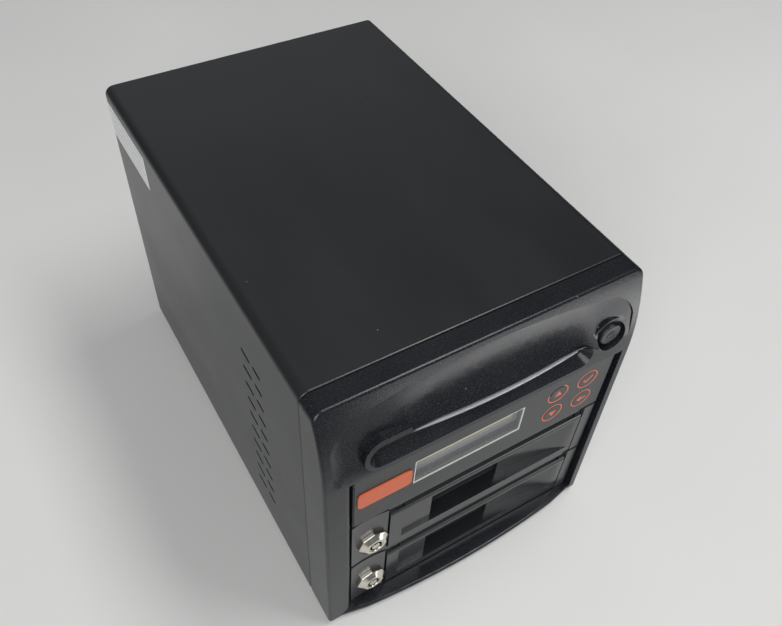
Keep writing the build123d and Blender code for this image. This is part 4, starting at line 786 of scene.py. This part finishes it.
def recolour(piece: Piece, look: Look, wanted: Callable[[Vector, Vector], bool]) -> None:
    """Give another finish to some faces of a piece.

    Args:
        piece: The piece.
        look: The other finish.
        wanted: Tells from a face's middle, in metres, and its normal whether it is one of them.
    """
    piece.data.materials.append(look.material)
    slot = len(piece.data.materials) - 1
    for face in piece.data.polygons:
        if wanted(face.center, face.normal):
            face.material_index = slot


def remake(
    node: str, look: Look, width: float, angle: float = 35.0, level: float | None = None
) -> Piece:
    """Make a smooth copy with rounded edges that stands in for a CAD node.

    Args:
        node: The CAD node.
        look: Its finish.
        width: Rounding of its sharp edges, or 0 for none.
        angle: Sharpness that counts as an edge, in degrees.
        level: Height at which its faces are divided, if they are.

    Returns:
        The copy.
    """
    piece = Bench.copy_of(node, node + "_finished")
    if level is not None:
        Bench.part_level(piece, level)
    if width:
        Bench.round_edges(piece, width, 2, angle)
    else:
        Bench.smooth(piece, angle)
    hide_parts(node)
    return fit(piece, BODY_OF[node], look)


@dataclass
class Studio:
    """Camera, paper floor, lamps and surroundings."""

    eye: Triple = (-0.1533, -0.2674, 0.4282)
    sight: Triple = (0.370, 0.552, -0.747)
    roll: float = 3.966
    lens: float = 36.76
    floor_size: float = 9.0
    floor_colour: Colour = ink(224, 224, 222)
    bright_side: Triple = (-0.55, -0.60, 0.58)
    room_colour: Colour = (0.96, 0.98, 1.0)
    room_bright: float = 0.27
    room_dark: float = 0.06
    rear_side: Triple = (0.20, 0.88, 0.43)
    rear_glow: float = 0.32

    def build(self) -> None:
        """Set up everything that isn't the machine."""
        self.camera()
        self.floor()
        aim = Vector((0.0, 0.0, 0.08))
        self.lamp("front_lamp", Vector((-1.3, -1.5, 1.35)), aim, (1.8, 1.8), 37.0)
        above, below = Vector((0.70, -0.36, 1.85)), Vector((0.70, -0.16, 0.0))
        self.lamp("ceiling_lamp", above, below, (0.6, 1.4), 19.0)
        card = Vector((0.26, -0.46, 0.002))
        self.lamp("floor_card", card, card + Vector((0.0, 0.01, 1.0)), (0.38, 0.40), 1.2)
        self.room()
        bpy.context.scene.view_settings.view_transform = "Standard"

    def camera(self) -> None:
        """Stand the camera where the photograph was taken from."""
        ahead = Vector(self.sight).normalized()
        level = ahead.cross(Vector((0, 0, 1))).normalized()
        raised = level.cross(ahead)
        turn = math.radians(self.roll)
        right = level * math.cos(turn) + raised * math.sin(turn)
        top = raised * math.cos(turn) - level * math.sin(turn)
        data = bpy.data.cameras.new("camera")
        data.lens = self.lens
        data.sensor_width = 36.0
        data.sensor_fit = "HORIZONTAL"
        data.clip_start = 0.01
        camera = enter("camera", data)
        axes = Matrix((right, top, -ahead)).transposed().to_4x4()
        camera.matrix_world = Matrix.Translation(self.eye) @ axes
        bpy.context.scene.camera = camera

    def floor(self) -> None:
        """Lay the pale paper floor."""
        Bench.rest()
        bpy.ops.mesh.primitive_plane_add(size=self.floor_size, location=(0, 0, 0))
        floor = Bench.named("paper_floor")
        floor.data.materials.append(PaperSweep("paper_sweep", self.floor_colour).material())

    def lamp(
        self, name: str, place: Vector, aim: Vector, size: tuple[float, float], watts: float
    ) -> None:
        """Set up one soft lamp that the camera doesn't see.

        Args:
            name: Its name.
            place: Its middle.
            aim: The point that it faces.
            size: Its width and its height.
            watts: Its power.
        """
        data = bpy.data.lights.new(name, "AREA")
        data.shape = "ELLIPSE"
        data.size, data.size_y = size
        data.energy = watts
        lamp = enter(name, data)
        lamp.location = place
        lamp.rotation_euler = (aim - place).to_track_quat("-Z", "Y").to_euler()
        lamp.visible_camera = False

    def room(self) -> None:
        """Fill the room with soft light, brighter to one side and low behind the machine."""
        world = bpy.data.worlds.new("room")
        graph = Graph(world)
        heading = graph.add("ShaderNodeTexCoord", {}, {}, "Generated")
        facing = graph.vectors("DOT_PRODUCT", heading, self.bright_side, "Value")
        rear = graph.vectors("DOT_PRODUCT", heading, self.rear_side, "Value")
        glow = rear.ramp(0.78, 1.0, 0.0, self.rear_glow)
        strength = facing.ramp(-0.35, 0.9, self.room_dark, self.room_bright) + glow
        values = {"Color": self.room_colour, "Strength": strength}
        light = graph.add("ShaderNodeBackground", {}, values)
        graph.end(light, "ShaderNodeOutputWorld")
        bpy.context.scene.world = world


@dataclass
class Cover:
    """The folded steel cover, its base, the rear plate, feet and blank label."""

    edge: float = 0.25 * MM
    front_round: float = 0.85 * MM
    corner: float = 5 * MM
    sheet: float = 1 * MM
    nearly: float = 0.01 * MM
    label_rules: int = 4
    rule_inset: float = 3 * MM
    rule_half: float = 0.12 * MM
    rule_proud: float = 0.03 * MM
    rule_sunk: float = 0.05 * MM

    def build(self) -> None:
        """Finish the outer steel and what is fixed to it."""
        cover = remake("top_cover", Look.COVER, 0.0)
        self.front_edge(cover)
        remake("base_chassis", Look.CHASSIS, 0.0)
        remake("rear_panel", Look.COVER, self.edge)
        remake("feet", Look.RUBBER, 0.3 * MM)
        remake("foot_screws", Look.BLACK_SCREW, 0.2 * MM)
        remake("rear_screws", Look.BLACK_SCREW, 0.12 * MM)
        remake("side_label", Look.PAPER, 0.0)
        self.rules()

    def front_edge(self, cover: Piece) -> None:
        """Round the cover's outer front edge, then its other edges a little."""
        low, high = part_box("top_cover")
        on_rim = [self.on_rim(vertex.co, low, high) for vertex in cover.data.vertices]
        weights = cover.data.attributes.new("bevel_weight_edge", "FLOAT", "EDGE")
        for edge in cover.data.edges:
            weights.data[edge.index].value = float(all(on_rim[index] for index in edge.vertices))
        Bench.hold(cover)
        rounding = cover.modifiers.new("front_edge", "BEVEL")
        rounding.width = self.front_round
        rounding.segments = 4
        rounding.limit_method = "WEIGHT"
        bpy.ops.object.modifier_apply(modifier=rounding.name)
        Bench.round_edges(cover, self.edge, 1)

    def on_rim(self, spot: Vector, low: Vector, high: Vector) -> bool:
        """Whether a point lies on the front rim of the cover's outer skin."""
        if spot.y > low.y + self.nearly:
            return False
        if spot.z > high.z - self.nearly or abs(spot.x) > high.x - self.nearly:
            return True
        reach = Vector((abs(spot.x) - (high.x - self.corner), spot.z - (high.z - self.corner)))
        return reach.x > 0 and reach.y > 0 and reach.length > self.corner - self.sheet * 0.5

    def rules(self) -> None:
        """Rule the blank label with a few plain lines."""
        low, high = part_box("side_label")
        inset = self.rule_inset
        gap = (high.z - low.z - 2 * inset) / (self.label_rules - 1)
        lines = []
        for row in range(self.label_rules):
            z = low.z + inset + row * gap
            start = Vector((low.x - self.rule_proud, low.y + inset, z - self.rule_half))
            end = Vector((low.x + self.rule_sunk, high.y - inset, z + self.rule_half))
            line = Bench.slab(f"label_line_{row}", start, end)
            Bench.round_edges(line, 0.02 * MM, 1)
            lines.append(line)
        fit(Bench.join("label_lines", lines), "chassis", Look.RULE)


@dataclass
class Front:
    """The moulded bezel and its power button."""

    lip_span: tuple[float, float] = (-41.4 * MM, 48.9 * MM)
    lip_height: tuple[float, float] = (146.6 * MM, 148.4 * MM)
    lip_depth: float = -119.5 * MM

    def on_lip(self, middle: Vector, normal: Vector) -> bool:
        """Whether a face of the bezel is the slot lip's rounded upper edge."""
        across = self.lip_span[0] < middle.x < self.lip_span[1]
        upright = self.lip_height[0] < middle.z < self.lip_height[1]
        return across and upright and middle.y < self.lip_depth and normal.z > 0.05

    def build(self) -> None:
        """Finish the bezel, with a painted highlight on its slot lip, and the button."""
        bezel = remake("front_bezel", Look.BEZEL, 0.0, 28.0)
        # Painted highlight: the slot lip's rounded upper edge is painted light grey.
        recolour(bezel, Look.LIP, self.on_lip)
        remake("power_button", Look.PANEL, 0.12 * MM)
        dress(frame["nodes"]["power_switch"], Look.SWITCHES)


@dataclass
class ControlPanel:
    """The top bay's panel: film, keys with printed marks, display and blank badge."""

    print_depth: float = 0.05 * MM
    ring_outer: float = 6.2 * MM
    ring_inner: float = 5.4 * MM
    arrow: float = 2.7 * MM
    border: float = 0.45 * MM
    window_half: tuple[float, float] = (30.2 * MM, 9.3 * MM)
    window_proud: float = 0.02 * MM
    window_depth: float = 0.5 * MM
    mark_sunk: float = 0.01 * MM
    tick: Outline = ((-3.0, 0.0), (-2.2, 0.8), (-0.9, -0.5), (2.2, 2.6), (3.0, 1.8), (-0.9, -2.1))
    back_arrow: Outline = (
        (-3.0, 0.0), (-0.4, 2.2), (-0.4, 0.6), (3.0, 0.6),
        (3.0, -0.6), (-0.4, -0.6), (-0.4, -2.2),
    )
    film_front: float = field(init=False)

    def __post_init__(self) -> None:
        """Read where the film's face is."""
        self.film_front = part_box("panel_overlay")[0].y

    def build(self) -> None:
        """Finish the panel and everything on it."""
        remake("control_panel", Look.PANEL, 0.2 * MM)
        remake("panel_overlay", Look.FILM, 0.0)
        remake("badge_plate", Look.BADGE, 0.1 * MM)
        for key in ("up_key", "down_key", "confirm_key", "back_key"):
            remake(key, Look.KEYCAP, 0.05 * MM)
            self.ring(key)
        self.open_ring("up_key_ring", "up_key", (70.0, 165.0))
        self.triangle("up_key", 90.0)
        self.triangle("down_key", -90.0)
        self.mark("confirm_key_tick", "confirm_key", self.tick)
        self.mark("back_key_back_arrow", "back_key", self.back_arrow)
        self.display()

    def key_face(self, key: str) -> Vector:
        """The middle of a key's face."""
        low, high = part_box(key)
        middle = (low + high) / 2
        return Vector((middle.x, low.y, middle.z))

    def ring(self, key: str) -> None:
        """Print the ring round a key on the film."""
        face = self.key_face(key)
        centre = Vector((face.x, self.film_front - self.print_depth / 2, face.z))
        piece = Bench.disc(key + "_ring", self.ring_outer, self.print_depth, centre, 64)
        Bench.hollow(piece, self.ring_outer - self.ring_inner)
        fit(piece, "chassis", Look.MARK)

    def open_ring(self, ring: str, key: str, gap: tuple[float, float]) -> None:
        """Leave a ring open between two headings, in degrees, as seen from the front."""
        face = self.key_face(key)
        piece = bpy.data.objects[ring]

        def in_gap(polygon: bmesh.types.BMFace) -> bool:
            """Whether a face of the ring lies in the gap."""
            middle = polygon.calc_center_median()
            heading = math.degrees(math.atan2(middle.z - face.z, middle.x - face.x))
            return gap[0] < heading < gap[1]

        Bench.pick(piece, in_gap)
        bpy.ops.mesh.delete(type="FACE")
        bpy.ops.mesh.select_all(action="SELECT")
        bpy.ops.mesh.fill_holes(sides=4)
        Bench.rest()

    def mark(self, name: str, key: str, outline: Outline) -> None:
        """Print a flat shape, given by its X and Z corners in millimetres, on a key."""
        face = self.key_face(key)
        points = [face + Vector((x * MM, self.mark_sunk, z * MM)) for x, z in outline]
        piece = Bench.plate(name, points, Vector((0, -self.print_depth, 0)))
        fit(piece, BODY_OF[key], Look.MARK)

    def triangle(self, key: str, heading: float) -> None:
        """Print an arrowhead that points along heading, in degrees."""
        size = self.arrow / MM
        angles = [math.radians(heading + turn) for turn in (0.0, 120.0, 240.0)]
        corners = tuple((size * math.cos(angle), size * math.sin(angle)) for angle in angles)
        self.mark(key + "_arrow", key, corners)

    def display(self) -> None:
        """Finish the window, its bright edge line, and the display behind it."""
        low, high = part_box("display_glass")
        middle = (low + high) / 2
        remake("display_window", Look.PANE, 0.0)
        remake("display_frame", Look.SURROUND, 0.2 * MM)
        face = remake("display_glass", Look.SURROUND, 0.2 * MM)
        cells = DisplayFace("display_face", ink(252, 240, 138), (middle.x, middle.z))
        face.material_slots[0].material = cells.material()
        self.edge_line()

    def edge_line(self) -> None:
        """The bright line where the clear window meets the film."""
        wide, tall = self.window_half
        low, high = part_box("display_window")
        middle = (low + high) / 2
        front, back = self.film_front - self.window_proud, self.film_front + self.window_depth
        start = Vector((middle.x - wide, front, middle.z - tall))
        end = Vector((middle.x + wide, back, middle.z + tall))
        piece = Bench.slab("window_edge_line", start, end)
        Bench.hollow(piece, self.border)
        fit(piece, "chassis", Look.PANE_EDGE)


@dataclass
class DriveRack:
    """One lockable drive rack."""

    side: str
    fascia_depth: float = 18 * MM
    # Height of the painted shade along the fascia's top edge.
    gap_shade: float = 1.3 * MM

    def build(self) -> None:
        """Finish the rack's frame, with painted shade on its fascia's top edge, and its tray, handle
        and lock.
        """
        low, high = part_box(self.side + "_rack_frame")
        level = high.z - self.gap_shade
        back = low.y + self.fascia_depth
        rack = remake(self.side + "_rack_frame", Look.RACK, 0.22 * MM, level=level)
        # Painted shade: the fascia's faces above that level, in the gap under the panel, are painted
        # near black.
        recolour(rack, Look.RECESS, lambda middle, _: middle.z > level and middle.y < back)
        for part, slot, look, edge in (
            ("handle", "rack_plastic", Look.HANDLE, 0.35),
            ("tray_front", "rack_plastic", Look.RACK, 0.35),
            ("tray", "black_plastic", Look.TRAY, 0.2),
            ("handle_pin", "plain_steel", Look.STEEL, 0.15),
            ("lock_housing", "lock_chrome", Look.NICKEL, 0.18),
            ("lock_plug", "lock_chrome", Look.NICKEL, 0.1),
            ("lock_cam", "plain_steel", Look.STEEL, 0.1),
        ):
            remake(f"{self.side}_{part}", look, edge * MM)
        dress(frame["nodes"][self.side + "_tray_plug"], Look.NYLON)
        dress(frame["nodes"][self.side + "_data_cable"], Look.RED_CABLE)


@dataclass
class Insides:
    """Cage, boards, power supply and cables."""

    def build(self) -> None:
        """Finish what the cover hides."""
        for node in ("bay_cage", "panel_carrier", "power_supply"):
            remake(node, Look.ZINC, 0.0)
        for node, look in {
            "board_standoffs": Look.STEEL,
            "key_switches": Look.SWITCHES,
            "rack_sockets": Look.NYLON,
            "rack_screws": Look.STEEL,
            "power_leads": Look.BLACK_CABLE,
        }.items():
            dress(frame["nodes"][node], look)
        low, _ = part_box("display_ribbon")
        ribbon = RibbonJacket("ribbon_jacket", ink(150, 150, 152), edge=low.x + 1.3 * MM)
        for slot in frame["nodes"]["display_ribbon"].material_slots:
            slot.material = ribbon.material()


@dataclass
class Boards:
    """The circuit boards, each with its laminate, chips, sockets and metal parts."""

    thickness: float = 1.6 * MM
    sink_half: float = 14.2 * MM
    chip_height: float = 1.3 * MM
    capacitor_height: float = 9.9 * MM
    solder_depth: float = 0.1 * MM
    sink_low: float = 3.1 * MM
    leg_pitch: float = 1.27 * MM
    leg_count: int = 14
    leg_width: float = 0.4 * MM
    leg_profile: Outline = (
        (0.0, 0.8), (0.55, 0.8), (0.75, 0.2), (1.3, 0.2),
        (1.3, 0.0), (0.6, 0.0), (0.4, 0.6), (0.0, 0.6),
    )
    chip_half: float = 5 * MM
    chip_places: Outline = ((-38.0, 5.0), (32.0, 5.0))

    def build(self) -> None:
        """Finish every board."""
        self.upright("display_board", True)
        self.upright("key_board", False)
        self.upright("lower_rack_board", True)
        self.upright("upper_rack_board", True)
        self.controller()

    def upright(self, node: str, from_front: bool) -> None:
        """Finish a standing board: laminate, and plastic on its parts.

        Args:
            node: The board's node.
            from_front: Whether the laminate is the front of the node, with the parts behind it.
        """
        piece = remake(node, Look.BOARD, 0.0)
        low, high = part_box(node)
        reach = self.thickness + self.solder_depth
        if from_front:
            recolour(piece, Look.NYLON, lambda middle, _: middle.y > low.y + reach)
        else:
            recolour(piece, Look.NYLON, lambda middle, _: middle.y < high.y - reach)

    def controller(self) -> None:
        """Finish the controller board and give its memory chips legs."""
        piece = remake("controller_board", Look.BOARD, 0.0)
        low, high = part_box("controller_board")
        top = low.z + self.thickness
        base = top + self.solder_depth
        sink = Vector((0.0, (low.y + high.y) / 2, 0.0))
        recolour(piece, Look.NYLON, lambda middle, _: middle.z > base)
        recolour(piece, Look.CHIP, lambda middle, _: base < middle.z < top + self.chip_height)
        recolour(piece, Look.SOLDER, lambda middle, _: middle.z > top + self.capacitor_height)

        def on_sink(middle: Vector, _: Vector) -> bool:
            """Whether a face belongs to the heat sink."""
            reach = max(abs(middle.x - sink.x), abs(middle.y - sink.y))
            return reach < self.sink_half and middle.z > top + self.sink_low

        recolour(piece, Look.ZINC, on_sink)
        for name, (x, y) in zip(("left", "right"), self.chip_places):
            self.legs(name, Vector((x * MM, sink.y + y * MM, top)))

    def legs(self, name: str, chip: Vector) -> None:
        """Two rows of bent tin legs at a chip whose middle, on the board, is given."""
        first = chip.y - (self.leg_count - 1) / 2 * self.leg_pitch
        steps = [Vector((0, step * self.leg_pitch, 0)) for step in range(1, self.leg_count)]
        rows = []
        for side in (-1, 1):
            corners = [
                Vector((chip.x + side * (self.chip_half + out * MM), first, chip.z + up * MM))
                for out, up in self.leg_profile
            ]
            leg = Bench.plate(f"{name}_chip_leg", corners, Vector((0, self.leg_width, 0)))
            rows += Bench.repeat(leg, steps)
        fit(Bench.join(f"{name}_chip_legs", rows), "chassis", Look.SOLDER)


@dataclass
class RearFittings:
    """Fans, guard, mains inlet and rocker."""

    socket_shift: float = 5.0 * MM
    pins: Outline = ((0.0, 3.5), (-6.0, -2.5), (6.0, -2.5))
    pin_reach: tuple[float, float] = (1.1 * MM, 2.1 * MM)
    pin_setback: tuple[float, float] = (2 * MM, 2.8 * MM)
    bar_half: Triple = (0.35 * MM, 0.03 * MM, 1.5 * MM)
    ring_radius: float = 1.6 * MM
    ring_width: float = 0.45 * MM
    pivot_depth: float = 4 * MM
    rocker_tilt: float = -10.0
    face_tilt: float = 12.9
    mark_out: float = 4.97 * MM
    mark_up: float = 4.2 * MM

    def build(self) -> None:
        """Finish the rear."""
        remake("fan_guard", Look.WIRE, 0.5 * MM)
        remake("exhaust_fan_frame", Look.FAN, 0.3 * MM)
        for rotor in ("exhaust_fan_rotor", "psu_fan_rotor"):
            remake(rotor, Look.FAN, 0.2 * MM)
        remake("power_rocker", Look.SWITCHES, 0.3 * MM)
        self.inlet()
        corner = Vector(self.bar_half)
        self.on_rocker(Bench.slab("rocker_bar_mark", -corner, corner), 1)
        ring = Bench.disc("rocker_ring_mark", self.ring_radius, 2 * corner.y, Vector(), 40)
        Bench.hollow(ring, self.ring_width)
        self.on_rocker(ring, -1)

    def inlet(self) -> None:
        """Finish the inlet, its three pins in brass."""
        piece = remake("power_inlet", Look.FAN, 0.12 * MM)
        low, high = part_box("power_inlet")
        middle = (low + high) / 2
        middle.x -= self.socket_shift
        wide, tall = self.pin_reach
        ahead, behind = self.pin_setback

        def on_pin(spot: Vector, _: Vector) -> bool:
            """Whether a face belongs to one of the pins."""
            away = spot - middle
            near = [abs(away.x - x * MM) < wide and abs(away.z - z * MM) < tall for x, z in self.pins]
            return any(near) and low.y + ahead < spot.y < high.y - behind

        recolour(piece, Look.BRASS, on_pin)

    def on_rocker(self, piece: Piece, side: int) -> None:
        """Lay a mark made at the origin on the rocker's upper or lower half.

        Args:
            piece: The mark.
            side: 1 for the upper half, -1 for the lower.
        """
        low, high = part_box("power_rocker")
        inlet_low, inlet_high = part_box("power_inlet")
        depth, height = inlet_high.y - self.pivot_depth, (inlet_low.z + inlet_high.z) / 2
        pivot = Vector(((low.x + high.x) / 2, depth, height))
        out = Matrix.Translation((0, self.mark_out, side * self.mark_up))
        lean = Matrix.Rotation(math.radians(-side * self.face_tilt), 4, "X")
        rock = Matrix.Rotation(math.radians(self.rocker_tilt), 4, "X")
        Bench.rest()
        piece.matrix_world = Matrix.Translation(pivot) @ rock @ out @ lean
        Bench.settle(piece)
        fit(piece, BODY_OF["power_rocker"], Look.WHITE_MARK)


def main() -> None:
    """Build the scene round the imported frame."""
    logging.basicConfig(level=logging.INFO, format="%(name)s: %(message)s")
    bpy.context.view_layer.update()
    shell = (Cover(), Front(), ControlPanel())
    racks = (DriveRack("lower"), DriveRack("upper"))
    for assembly in (Studio(), *shell, *racks, Insides(), Boards(), RearFittings()):
        assembly.build()
        log.info("%s built", type(assembly).__name__)
    Bench.rest()


if __name__ == "__main__":
    main()
